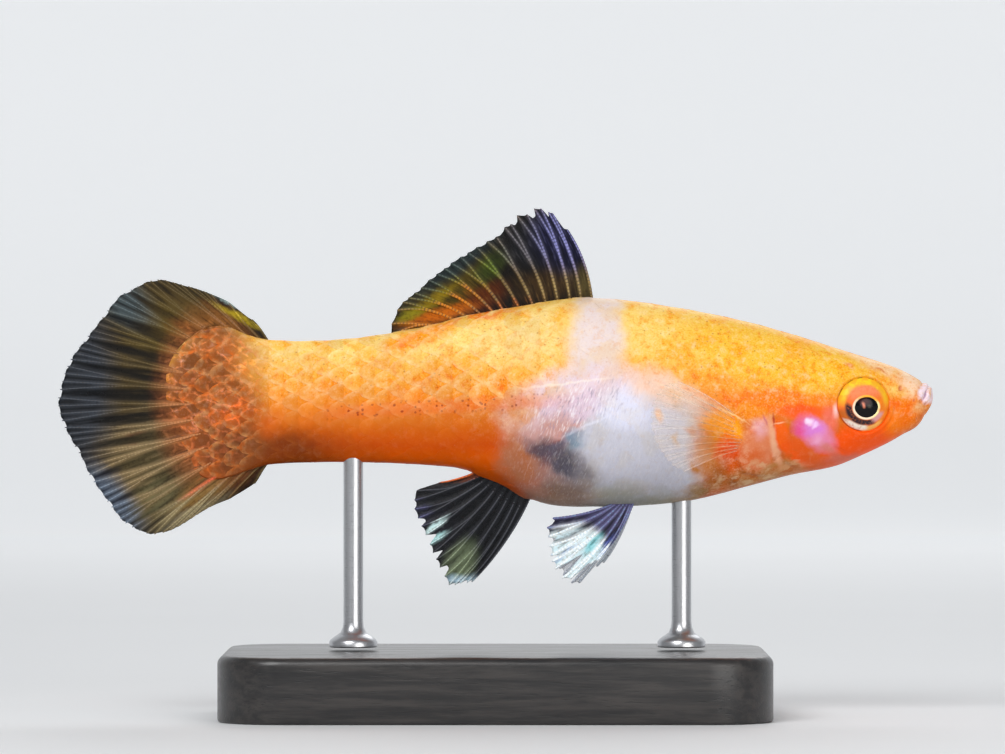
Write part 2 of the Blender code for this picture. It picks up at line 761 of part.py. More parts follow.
def pectoral_fin(side):
    """A pectoral fin behind the gill cover, its root flat against the flank and its fan spread from it."""
    lift = GAP + PECTORAL_FIN.root_thickness * MM / 2 + RAY_RIDGE

    def root_point(rise):
        angle = angle_at_height(PECTORAL_ROOT_X, rise)
        return body_point(PECTORAL_ROOT_X, side * angle, lift)

    first, last = PECTORAL_FIN.root
    spread = Matrix.Rotation(-side * PECTORAL_SPREAD, 4, "Z")
    placed = Matrix.Translation(root_point(PECTORAL_ROOT_RISE)) @ spread
    lines = (
        lambda share: root_point(PECTORAL_ROOT_RISE + (first + (last - first) * share) * MM),
        margin_curve(PECTORAL_FIN, placed),
        (spread @ Vector((0, 1, 0))).normalized(),
    )
    return fin_mesh(PECTORAL_FIN, lines)


def base_mesh():
    """The stand's flat base, with round corners and a softened upper edge."""
    bm = bmesh.new()
    bmesh.ops.create_cube(bm, size=1)
    bm.transform(Matrix.Diagonal((BASE_LENGTH, BASE_WIDTH, BASE_HEIGHT, 1)))
    bm.transform(Matrix.Translation((0, 0, BASE_HEIGHT / 2)))
    upright = [edge for edge in bm.edges if abs(edge.verts[0].co.z - edge.verts[1].co.z) > MM]
    bmesh.ops.bevel(bm, geom=upright, offset=BASE_CORNER, segments=6, profile=0.5, affect="EDGES")
    upper = [edge for edge in bm.edges if all(vert.co.z > BASE_HEIGHT - MM / 100 for vert in edge.verts)]
    bmesh.ops.bevel(bm, geom=upper, offset=BASE_EDGE, segments=3, profile=0.5, affect="EDGES")
    return mesh_of("base", bm)


def rod_profile(x):
    """A rod's outer side from its rounded top to its foot, as radius and height."""
    top, foot = rod_top(x), BASE_HEIGHT + GAP
    return (
        (0, top),
        (ROD_RADIUS * 0.7, top),
        (ROD_RADIUS, top - ROD_RADIUS * 0.3),
        (ROD_RADIUS, foot + ROD_FOOT_HEIGHT + ROD_RADIUS),
        (ROD_RADIUS * 1.4, foot + ROD_FOOT_HEIGHT),
        (ROD_FOOT_RADIUS * 0.85, foot + ROD_FOOT_HEIGHT * 0.7),
        (ROD_FOOT_RADIUS, foot + ROD_FOOT_HEIGHT * 0.35),
        (ROD_FOOT_RADIUS, foot),
        (0, foot),
    )


def stand_rod(name, x, collection):
    """A turned steel rod that stands on the base with a small foot and ends in the fish's belly."""
    profile = rod_profile(x)
    bm = bmesh.new()
    verts = [bm.verts.new((radius, 0, height)) for radius, height in profile]
    for before, after in zip(verts, verts[1:]):
        bm.edges.new((before, after))
    mesh = bpy.data.meshes.new(name)
    bm.to_mesh(mesh)
    bm.free()
    rod = new_object(name, mesh, collection)
    screw = rod.modifiers.new("Turned", "SCREW")
    screw.steps = screw.render_steps = ROD_SIDES
    screw.use_merge_vertices = True
    screw.merge_threshold = MM / 1000
    rod.location.x = x
    return rod


def place(name, mesh, finish, materials, collection, centre):
    """Makes a node of the mesh, with its origin at the centre and its material."""
    mesh.name = name
    mesh.transform(Matrix.Translation(-centre))
    mesh.materials.clear()
    mesh.materials.append(materials[finish])
    obj = new_object(name, mesh, collection)
    obj.location = centre
    mesh.shade_smooth()
    mesh.set_sharp_from_angle(angle=math.radians(35))
    return obj


def middle_of(mesh):
    corners = [Vector(vert.co) for vert in mesh.vertices]
    return sum(corners, Vector()) / len(corners)


def main():
    clear_scene()
    collection = new_collection("koi_swordtail")
    materials = {name: make_material(name) for name in FINISHES}
    nodes = []

    def add(name, mesh, finish):
        nodes.append(place(name, mesh, finish, materials, collection, middle_of(mesh)))

    tail_stem, trunk, head, lower_jaw = body_parts()
    add("tail_stem", tail_stem, "golden_skin")
    add("trunk", trunk, "white_skin")
    add("head", head, "golden_skin")
    add("lower_jaw", lower_jaw, "orange_skin")
    for side_name, side in SIDES.items():
        add(f"gill_cover_{side_name}", make_gill_cover(side), "rose_skin")
        add(f"eye_{side_name}", eye_mesh(side), "iris")
        pupil = ball_mesh(pupil_centre(side), (PUPIL_RADIUS, PUPIL_BULGE, PUPIL_RADIUS))
        add(f"pupil_{side_name}", pupil, "pupil")
        add(f"pelvic_fin_{side_name}", pelvic_fin(side), "clear_fin")
        add(f"pectoral_fin_{side_name}", pectoral_fin(side), "clear_fin")
    add("dorsal_fin", median_fin(DORSAL_FIN, dorsal_root), "olive_fin")
    add("tail_fin", median_fin(TAIL_FIN, tail_root), "olive_fin")
    add("anal_fin", median_fin(ANAL_FIN, anal_root), "clear_fin")
    add("stand_base", base_mesh(), "black_base")
    for name, x in (("stand_rod_front", FRONT_ROD_X), ("stand_rod_rear", REAR_ROD_X)):
        rod = stand_rod(name, x, collection)
        rod.data.materials.append(materials["steel_rod"])
        nodes.append(rod)

    root = bpy.data.objects.new("swordtail_model", None)
    collection.objects.link(root)
    for node in nodes:
        node.parent = root


if __name__ == "__main__":
    main()
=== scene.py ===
"""A life-size koi swordtail on a display stand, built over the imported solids.

Sizes in the tables are in millimetres, measured along the fish and from its swimming axis.
"""

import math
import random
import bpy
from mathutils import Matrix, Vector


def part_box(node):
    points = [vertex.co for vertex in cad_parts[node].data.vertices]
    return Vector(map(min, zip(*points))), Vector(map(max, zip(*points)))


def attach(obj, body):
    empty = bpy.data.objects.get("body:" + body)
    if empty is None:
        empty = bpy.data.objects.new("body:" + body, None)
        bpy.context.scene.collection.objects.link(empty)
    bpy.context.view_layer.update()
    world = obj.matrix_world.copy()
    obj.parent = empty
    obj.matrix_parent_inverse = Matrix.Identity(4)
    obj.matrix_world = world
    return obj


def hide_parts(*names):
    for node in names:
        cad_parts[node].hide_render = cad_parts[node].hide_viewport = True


bl_info = {
    "name": "Koi Swordtail Display Model",
    "version": (1, 0, 0),
    "blender": (4, 5, 0),
    "location": "View3D > Sidebar > Swordtail",
    "description": "Builds the skin, scales, eyes, fins, stand and stage of a life-size koi swordtail",
    "category": "Object",
}

import bpy
import numpy as np
from bpy.props import FloatProperty, FloatVectorProperty, IntProperty, PointerProperty
from bpy.types import Operator, Panel, PropertyGroup
from mathutils import Vector

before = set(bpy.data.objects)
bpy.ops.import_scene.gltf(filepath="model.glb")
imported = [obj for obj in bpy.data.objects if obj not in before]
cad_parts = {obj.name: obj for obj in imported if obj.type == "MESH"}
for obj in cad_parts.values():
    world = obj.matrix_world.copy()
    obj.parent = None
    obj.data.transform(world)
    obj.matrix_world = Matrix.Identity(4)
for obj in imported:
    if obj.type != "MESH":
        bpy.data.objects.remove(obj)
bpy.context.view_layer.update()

MM = 0.001
AXIS_HEIGHT = 29.0
SIDES = {"right": -1, "left": 1}

# Each cross-section of the body: x, back, belly, widest height and half width
STATIONS = np.array((
    (-30.4, 0.3, -0.7, -0.2, 0.05),
    (-30.1, 2.4, -2.8, -0.2, 0.07),
    (-29.3, 4.2, -4.8, -0.2, 0.1),
    (-28.0, 5.6, -6.3, -0.2, 0.16),
    (-26.3, 6.6, -7.3, -0.2, 0.3),
    (-24.5, 6.6, -7.2, -0.2, 0.58),
    (-22.5, 5.8, -6.5, -0.2, 0.95),
    (-20.6, 5.4, -6.0, -0.2, 1.3),
    (-16.5, 5.3, -5.8, -0.1, 1.8),
    (-12.0, 5.65, -5.8, 0.0, 2.3),
    (-7.0, 6.5, -6.0, 0.0, 2.8),
    (-3.0, 7.4, -6.4, -0.1, 3.3),
    (0.5, 8.05, -7.5, -0.3, 3.9),
    (3.2, 8.5, -9.1, -0.8, 4.5),
    (5.5, 8.9, -9.75, -1.2, 4.9),
    (9.0, 9.2, -9.85, -1.5, 5.3),
    (12.5, 8.95, -9.8, -1.6, 5.5),
    (18.0, 8.1, -9.25, -1.4, 5.4),
    (23.0, 7.05, -8.0, -1.0, 5.1),
    (27.0, 5.95, -6.95, -0.7, 4.75),
    (31.0, 4.7, -6.15, -0.6, 4.35),
    (33.7, 3.85, -5.05, -0.5, 3.9),
    (36.0, 3.1, -3.95, -0.3, 3.3),
    (37.2, 2.6, -3.25, -0.2, 2.85),
    (38.4, 1.95, -2.6, 0.0, 2.3),
    (39.2, 1.4, -1.7, 0.2, 1.7),
))
NOSE_X = 39.2
SNOUT_X = 40.0
HEAD_FROM_X = 24.6
HEAD_SQUARENESS = 2.5
BODY_SQUARENESS = 2.15
TAIL_SQUARENESS = 1.25

# Lines on the head, from the top downwards
MOUTH_SLIT = ((39.7, 1.5), (39.4, 0.85), (38.98, 0.0), (38.6, -0.4))
LIP_CREASE = ((39.1, 2.2), (39.02, 1.5), (38.6, 0.7), (38.2, -0.1))
JAW_CREASE = ((39.4, -0.2), (38.9, -0.75), (38.0, -1.4), (36.8, -2.2), (35.4, -2.9))
GILL_FLAP = (
    (25.2, -0.5), (24.9, -1.1), (23.8, -2.3), (22.9, -3.0), (22.4, -3.9), (21.7, -5.3),
    (22.4, -6.7), (25.2, -7.2),
)
GILL_BONE = ((25.1, -1.0), (25.5, -2.6), (25.6, -4.2), (26.3, -5.8), (28.0, -6.6))
CHEEK_BONE = ((30.4, -1.3), (30.2, -2.8), (30.8, -4.4), (32.4, -5.3))
NOSTRILS = ((36.9, 1.0, 0.26), (36.1, 1.75, 0.2))

# Eyes
EYE_CENTRE = (33.35, 3.1, -0.48)
EYE_YAW = math.radians(12)
EYE_RADIUS = 2.54
EYE_BULGE = 1.3
EYE_EDGE = 2.45
PUPIL_SHIFT = (0.09, -0.27)
PUPIL_RADII = (1.12, 0.95)

# Where the scales leave room for the dorsal fin, and where they thin out on the tail and end
DORSAL_SPAN = (-5.5, 9.6)
SCALES_THIN_FROM_X = -25
SCALES_END_X = -28.6
# The front limit of the scales, as heights and places
SCALE_FRONT = ((-9.5, 25.0), (-8.0, 23.5), (-7.0, 21.6), (-5.5, 20.9), (-4.0, 21.6), (-2.5, 22.8),
               (-1.0, 24.4), (0.0, 27.0), (1.5, 30.2), (3.0, 31.5), (6.0, 31.5))
SCALE_COLUMN_STEPS = ((-30.0, 1.35), (-10.0, 1.4), (5.0, 1.7), (32.0, 1.6))
SCALE_ROWS = 8


def rgb(red, green, blue):
    """A screen colour of 0 to 255 as a linear shader colour."""
    def linear(value):
        value /= 255
        return value / 12.92 if value <= 0.04045 else ((value + 0.055) / 1.055) ** 2.4
    return (linear(red), linear(green), linear(blue), 1.0)


def ease(value, low, high):
    """A smooth rise from 0 at low to 1 at high."""
    share = np.clip((value - low) / (high - low), 0, 1)
    return share * share * (3 - 2 * share)


def bell(value, centre, width):
    return np.exp(-(((value - centre) / width) ** 2))


def smooth_line(places, values, at):
    """Values of a smooth line through the places, as numbers or points."""
    places, values = np.asarray(places, float), np.asarray(values, float)
    at = np.clip(np.asarray(at, float), places[0], places[-1])
    gaps = places[1:] - places[:-1]
    slopes = np.empty_like(values)
    spread = (places[2:] - places[:-2]).reshape(-1, *([1] * (values.ndim - 1)))
    slopes[1:-1] = (values[2:] - values[:-2]) / spread
    slopes[0] = (values[1] - values[0]) / gaps[0]
    slopes[-1] = (values[-1] - values[-2]) / gaps[-1]
    index = np.clip(np.searchsorted(places, at, side="right") - 1, 0, len(places) - 2)
    width = gaps[index]
    t = (at - places[index]) / width
    if values.ndim > 1:
        t, width = t[..., None], width[..., None]
    start, end = values[index], values[index + 1]
    bend = (2 * t**3 - 3 * t**2 + 1) * start + (3 * t**2 - 2 * t**3) * end
    return bend + ((t**3 - 2 * t**2 + t) * slopes[index] + (t**3 - t**2) * slopes[index + 1]) * width


def line_distance(x, z, line):
    """The distance to an open line, positive on its front side, and how far along the line it is met."""
    best = np.full(np.shape(x), 1e9)
    signed, along = np.zeros_like(best), np.zeros_like(best)
    for number, (start, end) in enumerate(zip(line, line[1:])):
        dx, dz = end[0] - start[0], end[1] - start[1]
        share = np.clip(((x - start[0]) * dx + (z - start[1]) * dz) / (dx * dx + dz * dz), 0, 1)
        away_x, away_z = x - start[0] - share * dx, z - start[1] - share * dz
        distance = np.hypot(away_x, away_z)
        nearer = distance < best
        best = np.where(nearer, distance, best)
        side = np.sign(dx * away_z - dz * away_x)
        signed = np.where(nearer, distance * np.where(side == 0, 1, side), signed)
        along = np.where(nearer, (number + share) / (len(line) - 1), along)
    return signed, along


def signed_power(value, power):
    return np.sign(value) * np.abs(value) ** power


def body_points(x, angle):
    """Points of the plain body, with the angle from the back towards the left side."""
    x, angle = np.broadcast_arrays(np.asarray(x, float), np.asarray(angle, float))
    along = np.clip(x, STATIONS[0, 0], NOSE_X)
    back, belly, middle, half = (smooth_line(STATIONS[:, 0], STATIONS[:, k], along) for k in (1, 2, 3, 4))
    head_share = np.clip((x - HEAD_FROM_X) / (NOSE_X - HEAD_FROM_X), 0, 1)
    squareness = BODY_SQUARENESS + (HEAD_SQUARENESS - BODY_SQUARENESS) * head_share
    power = 2 / (squareness + (TAIL_SQUARENESS - BODY_SQUARENESS) * (1 - ease(x, -27, -20)))
    beyond = np.clip((x - NOSE_X) / (SNOUT_X - NOSE_X), 0, 1)
    roundness = np.sqrt(1 - beyond**2)
    side, up = np.sin(angle), np.cos(angle)
    reach = np.where(up > 0, back - middle, (middle - belly) * (1 - 0.4 * ease(x, 38.8, 40)))
    y = half * signed_power(side, power) * roundness
    z = middle + reach * signed_power(up, power) * roundness
    return np.stack([x, y, z], -1)


def body_normals(x, angle):
    step = 0.02
    along = body_points(x + step, angle) - body_points(x - step, angle)
    around = body_points(x, angle + step) - body_points(x, angle - step)
    normal = np.cross(along, around)
    length = np.linalg.norm(normal, axis=-1, keepdims=True)
    ahead = np.array((1.0, 0.0, 0.0))
    return np.where(length > 1e-7, normal / np.maximum(length, 1e-7), ahead)


GIRTH_X = np.linspace(STATIONS[0, 0], SNOUT_X - 0.05, 284)
GIRTH_SHARES = np.linspace(0, 1, 129)


def girth_table():
    """For places along the fish, the angles that part half its girth evenly from back to belly."""
    angles = np.linspace(0, math.pi, 241)
    points = body_points(GIRTH_X[:, None], angles[None, :])
    steps = np.linalg.norm(np.diff(points, axis=1), axis=-1)
    lengths = np.concatenate([np.zeros((len(GIRTH_X), 1)), np.cumsum(steps, axis=1)], axis=1)
    return np.stack([np.interp(GIRTH_SHARES, row / row[-1], angles) for row in lengths])


GIRTH_ANGLES = girth_table()


def girth_angle(x, share):
    """The angle at a signed share of the half girth, from 0 on the back to 1 under the belly."""
    x, share = np.broadcast_arrays(np.asarray(x, float), np.asarray(share, float))
    column = np.clip((x - GIRTH_X[0]) / (GIRTH_X[1] - GIRTH_X[0]), 0, len(GIRTH_X) - 1.001)
    row = np.clip(np.abs(share), 0, 1) * (len(GIRTH_SHARES) - 1.001)
    i, j = column.astype(int), row.astype(int)
    u, v = column - i, row - j
    near = GIRTH_ANGLES[i, j] * (1 - v) + GIRTH_ANGLES[i, j + 1] * v
    far = GIRTH_ANGLES[i + 1, j] * (1 - v) + GIRTH_ANGLES[i + 1, j + 1] * v
    return np.where(share < 0, -1, 1) * (near * (1 - u) + far * u)


def skin_relief(points):
    """How far the skin stands out over the plain body: lips, folds, gill covers, nostrils and fin bases."""
    x, y, z = points[..., 0], points[..., 1], points[..., 2]
    relief = np.zeros_like(x)
    slit, along = line_distance(x, z, MOUTH_SLIT)
    fade = 1 - ease(along, 0.85, 1)
    relief -= (0.06 + 0.18 * ease(along, 0.1, 0.5)) * bell(slit, 0, 0.09) * fade
    relief += 0.06 * (bell(slit, 0.3, 0.18) + bell(slit, -0.28, 0.17)) * fade
    crease, along = line_distance(x, z, LIP_CREASE)
    relief -= (0.13 - 0.08 * ease(along, 0.1, 0.5)) * bell(crease, 0, 0.14) * (1 - ease(along, 0.7, 1))
    crease, along = line_distance(x, z, JAW_CREASE)
    relief -= 0.035 * bell(crease, 0, 0.15) * ease(along, 0, 0.15) * (1 - ease(along, 0.5, 1))
    step, along = line_distance(x, z, GILL_FLAP)
    ends = ease(along, 0, 0.08) * (1 - ease(along, 0.88, 1))
    raised = 0.17 * ease(step, 0, 0.1) * (1 - ease(step, 0.5, 4.0))
    flap = np.where(step > 0, raised, -0.05 * bell(step, 0, 0.25))
    relief += flap * ends
    step, along = line_distance(x, z, GILL_BONE)
    ends = ease(along, 0, 0.15) * (1 - ease(along, 0.8, 1))
    relief += np.where(step > 0, 0.09 * ease(step, 0, 0.12) * (1 - ease(step, 0.4, 2.5)), 0) * ends
    relief -= 0.05 * bell(step, -0.12, 0.12) * ends
    groove, along = line_distance(x, z, CHEEK_BONE)
    ends = ease(along, 0, 0.2) * (1 - ease(along, 0.8, 1))
    relief -= 0.07 * bell(groove, 0, 0.16) * ends
    relief += 0.05 * bell(groove, 0.4, 0.3) * ends
    for place, height, radius in NOSTRILS:
        distance = np.hypot(x - place, z - height) / radius
        hole = 0.07 * bell(distance, 1.15, 0.35) - 0.3 * (1 - ease(distance, 0.25, 0.95))
        relief += np.where(np.abs(y) > 0.5, hole, 0)
    ridge = ease(x, -5.2, -3.5) * (1 - ease(x, 8.4, 9.4)) * (z > 0)
    keel = ease(x, -2.4, -1.4) * (1 - ease(x, 2.6, 3.6)) * (z < 0)
    relief += bell(y, 0, 0.55) * (0.14 * ridge + 0.3 * keel)
    relief += 0.22 * bell(np.hypot(x - 20.9, z + 3.9), 0, 1.1)
    return relief


def eye_axes(side):
    """The eye's middle and its forward, upward and outward directions."""
    middle = np.array((EYE_CENTRE[0], side * EYE_CENTRE[1], EYE_CENTRE[2]))
    forward = np.array((math.cos(EYE_YAW), -side * math.sin(EYE_YAW), 0))
    outward = np.array((math.sin(EYE_YAW), side * math.cos(EYE_YAW), 0))
    return middle, np.stack([forward, (0, 0, 1), outward])


def eyeball_height(distance):
    return EYE_BULGE * np.sqrt(np.clip(1 - (distance / EYE_RADIUS) ** 2, 0, 1))


def set_orbits(points):
    """Sinks the skin behind each eye and rolls a low rim round it."""
    for side in SIDES.values():
        middle, axes = eye_axes(side)
        local = (points - middle) @ axes.T
        near = (points[:, 1] * side > 0.3) & (np.hypot(local[:, 0], local[:, 1]) < 3.9)
        u, v, w = local[near].T
        distance = np.maximum(np.hypot(u, v), 1e-6)
        pulled = distance + (EYE_EDGE - distance) * bell(distance, EYE_EDGE, 0.13) * 0.85
        u, v = u * pulled / distance, v * pulled / distance
        edge = eyeball_height(EYE_EDGE)
        rim = edge + 0.1
        share = 1 - ease(pulled, 2.6, 3.6)
        w = w + (np.maximum(rim, w) * 0.35 + rim * 0.65 - w) * share
        w = w + 0.1 * bell(pulled, 2.7, 0.14) - 0.05 * bell(pulled, 3.02, 0.14)
        sunk = 1 - ease(pulled, 2.31, 2.53)
        w = w + (eyeball_height(pulled) - 0.4 - w) * sunk
        points[near] = np.stack([u, v, w], -1) @ axes + middle
    return points


def skin_points(x, share, lift=0.0):
    """Points on the finished skin, lifted off it along the plain body's normal."""
    angle = girth_angle(x, share)
    points, normals = body_points(x, angle), body_normals(x, angle)
    height = skin_relief(points) + lift
    return points + normals * height[..., None]


def skin_places():
    """Where the skin's rings stand, close together on the head and closest at the mouth."""
    spans = (
        (-30.4, -20.6, 0.3), (-20.6, 21.0, 0.36), (21.0, 30.0, 0.17),
        (30.0, 37.6, 0.11), (37.6, NOSE_X, 0.06),
    )
    places = []
    for start, end, step in spans:
        places += list(np.arange(start, end - step / 2, step))
    turns = np.linspace(0, math.pi / 2, 19)
    return np.array(places + list(NOSE_X + (SNOUT_X - NOSE_X) * np.sin(turns)))


# Objects


def deselect():
    bpy.ops.object.select_all(action="DESELECT")


def in_metres(points):
    points = np.asarray(points, float).reshape(-1, 3).copy()
    points[:, 2] += AXIS_HEIGHT
    return points * MM


def set_points(obj, points):
    obj.data.vertices.foreach_set("co", np.asarray(points, float).ravel())
    obj.data.update()


def add_grid(name, columns, rows):
    """A flat grid as a new object, and each vertex's place on it from 0 to 1."""
    deselect()
    bpy.ops.mesh.primitive_grid_add(x_subdivisions=columns, y_subdivisions=rows, size=2)
    obj = bpy.context.object
    obj.name = obj.data.name = name
    flat = np.empty(len(obj.data.vertices) * 3)
    obj.data.vertices.foreach_get("co", flat)
    return obj, (flat.reshape(-1, 3)[:, 0] + 1) / 2, (flat.reshape(-1, 3)[:, 1] + 1) / 2


def clean_mesh(obj, merge=1e-6, fill=False):
    """Merges doubles, closes holes and turns the faces outwards."""
    deselect()
    obj.select_set(True)
    bpy.context.view_layer.objects.active = obj
    bpy.ops.object.mode_set(mode="EDIT")
    bpy.ops.mesh.select_all(action="SELECT")
    bpy.ops.mesh.remove_doubles(threshold=merge)
    if fill:
        bpy.ops.mesh.fill_holes(sides=0)
    bpy.ops.mesh.select_all(action="SELECT")
    bpy.ops.mesh.normals_make_consistent(inside=False)
    bpy.ops.object.mode_set(mode="OBJECT")
    bpy.ops.object.shade_smooth()


def apply_modifier(obj, kind, name, **settings):
    deselect()
    obj.select_set(True)
    bpy.context.view_layer.objects.active = obj
    modifier = obj.modifiers.new(name, kind)
    for key, value in settings.items():
        setattr(modifier, key, value)
    bpy.ops.object.modifier_apply(modifier=modifier.name)


def join_pieces(name, pieces):
    deselect()
    for piece in pieces:
        piece.select_set(True)
    bpy.context.view_layer.objects.active = pieces[0]
    if len(pieces) > 1:
        bpy.ops.object.join()
    joined = bpy.context.object
    joined.name = joined.data.name = name
    return joined


def point_attribute(obj, name, values):
    layer = obj.data.attributes.new(name, "FLOAT", "POINT")
    layer.data.foreach_set("value", np.asarray(values, float).ravel())


def finish_piece(obj, material, slot, *nodes):
    """Gives a piece its material and its body, and hides the solids that it stands for. The slot is not used.
    """
    obj.data.materials.clear()
    obj.data.materials.append(material)
    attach(obj, "root")
    if nodes:
        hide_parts(*nodes)
    return obj


# Shader nodes


class Tree:
    """Adds nodes to one node tree and links them."""

    def __init__(self, tree):
        self.tree = tree

    def add(self, kind, inputs=None, **settings):
        node = self.tree.nodes.new(kind)
        for key, value in settings.items():
            setattr(node, key, value)
        for key, value in (inputs or {}).items():
            self.feed(node.inputs[key], value)
        return node

    def feed(self, socket, value):
        if isinstance(value, bpy.types.NodeSocket):
            self.tree.links.new(value, socket)
        else:
            socket.default_value = value

    def mix(self, factor, first, second, blend="MIX"):
        node = self.add("ShaderNodeMix", data_type="RGBA", blend_type=blend)
        for index, value in ((0, factor), (6, first), (7, second)):
            self.feed(node.inputs[index], value)
        return node.outputs[2]

    def math(self, operation, first, second=0.0, clamp=False):
        node = self.add("ShaderNodeMath", {0: first, 1: second}, operation=operation, use_clamp=clamp)
        return node.outputs[0]

    def ramp(self, value, low, high, to_low=0.0, to_high=1.0):
        """A smooth step of a value."""
        inputs = {"Value": value, "From Min": low, "From Max": high, "To Min": to_low, "To Max": to_high}
        return self.add("ShaderNodeMapRange", inputs, interpolation_type="SMOOTHSTEP").outputs["Result"]

    def noise(self, coords, size, detail=2.0, rough=0.5, distort=0.0):
        """Noise whose features are about this many millimetres across."""
        inputs = {"Vector": coords, "Scale": 1000 / size, "Detail": detail, "Roughness": rough}
        inputs["Distortion"] = distort
        return self.add("ShaderNodeTexNoise", inputs)

    def warped(self, coords, size, amount):
        """Coordinates moved about by noise, by up to about half this many millimetres."""
        noise = self.noise(coords, size, 3.0)
        centred = self.add(
            "ShaderNodeVectorMath", {0: noise.outputs["Color"], 1: (0.5, 0.5, 0.5)}, operation="SUBTRACT",
        )
        scaled = self.add(
            "ShaderNodeVectorMath", {0: centred.outputs[0], "Scale": amount * 2 * MM}, operation="SCALE",
        )
        return self.add("ShaderNodeVectorMath", {0: coords, 1: scaled.outputs[0]}, operation="ADD").outputs[0]

    def patch(self, coords, centre, radii, turn=0.0, soft=0.6, strength=1.0):
        """A mask for a soft oval seen from the side: its middle, half sizes and turn in degrees."""
        mapping = self.add("ShaderNodeMapping", {
            "Vector": coords,
            "Location": (centre[0] * MM, 0, (centre[1] + AXIS_HEIGHT) * MM),
            "Rotation": (0, -math.radians(turn), 0),
            "Scale": (radii[0] * MM, 10, radii[1] * MM),
        }, vector_type="TEXTURE")
        ball = self.add("ShaderNodeTexGradient", {"Vector": mapping.outputs[0]}, gradient_type="SPHERICAL")
        return self.ramp(ball.outputs["Fac"], 0, soft, 0, strength)

    def painted(self, coords, colour, patches):
        """A colour with soft ovals of other colours over it."""
        for centre, radii, turn, soft, strength, tint in patches:
            colour = self.mix(self.patch(coords, centre, radii, turn, soft, strength), colour, tint)
        return colour

    def stops(self, height, colours):
        """A colour that changes with the height above the floor, over the whole range of the stops."""
        low, high = colours[0][0], colours[-1][0]
        limits = {
            "Value": height, "From Min": (low + AXIS_HEIGHT) * MM, "From Max": (high + AXIS_HEIGHT) * MM,
        }
        share = self.add("ShaderNodeMapRange", limits).outputs["Result"]
        node = self.add("ShaderNodeValToRGB", {"Fac": share})
        elements = node.color_ramp.elements
        while len(elements) < len(colours):
            elements.new(0.5)
        for element, (place, colour) in zip(elements, colours):
            element.position = (place - low) / (high - low)
        for element, (place, colour) in zip(elements, colours):
            element.color = colour
        return node.outputs["Color"]

    def attribute(self, name):
        return self.add("ShaderNodeAttribute", attribute_name=name).outputs["Fac"]


def new_material(name):
    """A material, its tree and its Principled shader."""
    material = bpy.data.materials.new(name)
    material.use_nodes = True
    tree = Tree(material.node_tree)
    return material, tree, material.node_tree.nodes["Principled BSDF"]


def object_coords(tree):
    return tree.add("ShaderNodeTexCoord").outputs["Object"]


# Colours of the flank from the belly to the back, by height: gold on the back to orange lower down, with the
# lower side darkened in part as painted shade
FLANK = (
    (-6.6, rgb(226, 92, 0)),
    (-5.4, rgb(228, 92, 0)),
    (-4.2, rgb(210, 80, 0)),
    (-2.85, rgb(212, 96, 4)),
    (-1.5, rgb(224, 120, 30)),
    (-0.1, rgb(240, 142, 34)),
    (1.3, rgb(247, 160, 44)),
    (2.7, rgb(248, 180, 62)),
    (4.2, rgb(247, 200, 92)),
    (5.6, rgb(248, 208, 106)),
)

# The tail's scaled base, painted alike on the skin and on the fin behind it
TAIL_BASE = (
    ((-25.9, -0.2), (6.1, 10.0), 0, 0.5, 0.95, rgb(150, 86, 38)),
    ((-24.8, 4.6), (3.8, 2.6), -20, 0.9, 0.55, rgb(190, 108, 46)),
    ((-24.0, -4.9), (4.8, 3.4), 20, 0.8, 0.95, rgb(122, 66, 30)),
    ((-28.6, 2.2), (2.2, 3.4), 0, 0.9, 0.6, rgb(150, 92, 50)),
    # Painted shade: a darker band along the top edge of the tail's base, toning down the light that falls on
    # it
    ((-26.6, 6.3), (4.6, 1.5), -8, 0.8, 0.9, rgb(138, 82, 32)),
    ((-22.2, 3.2), (2.8, 3.0), 0, 1.0, 0.8, rgb(230, 160, 64)),
    ((-23.6, -1.2), (3.6, 1.7), 8, 1.0, 0.8, rgb(214, 100, 26)),
    ((-20.8, -2.4), (2.0, 1.8), 0, 1.0, 0.7, rgb(206, 92, 20)),
)
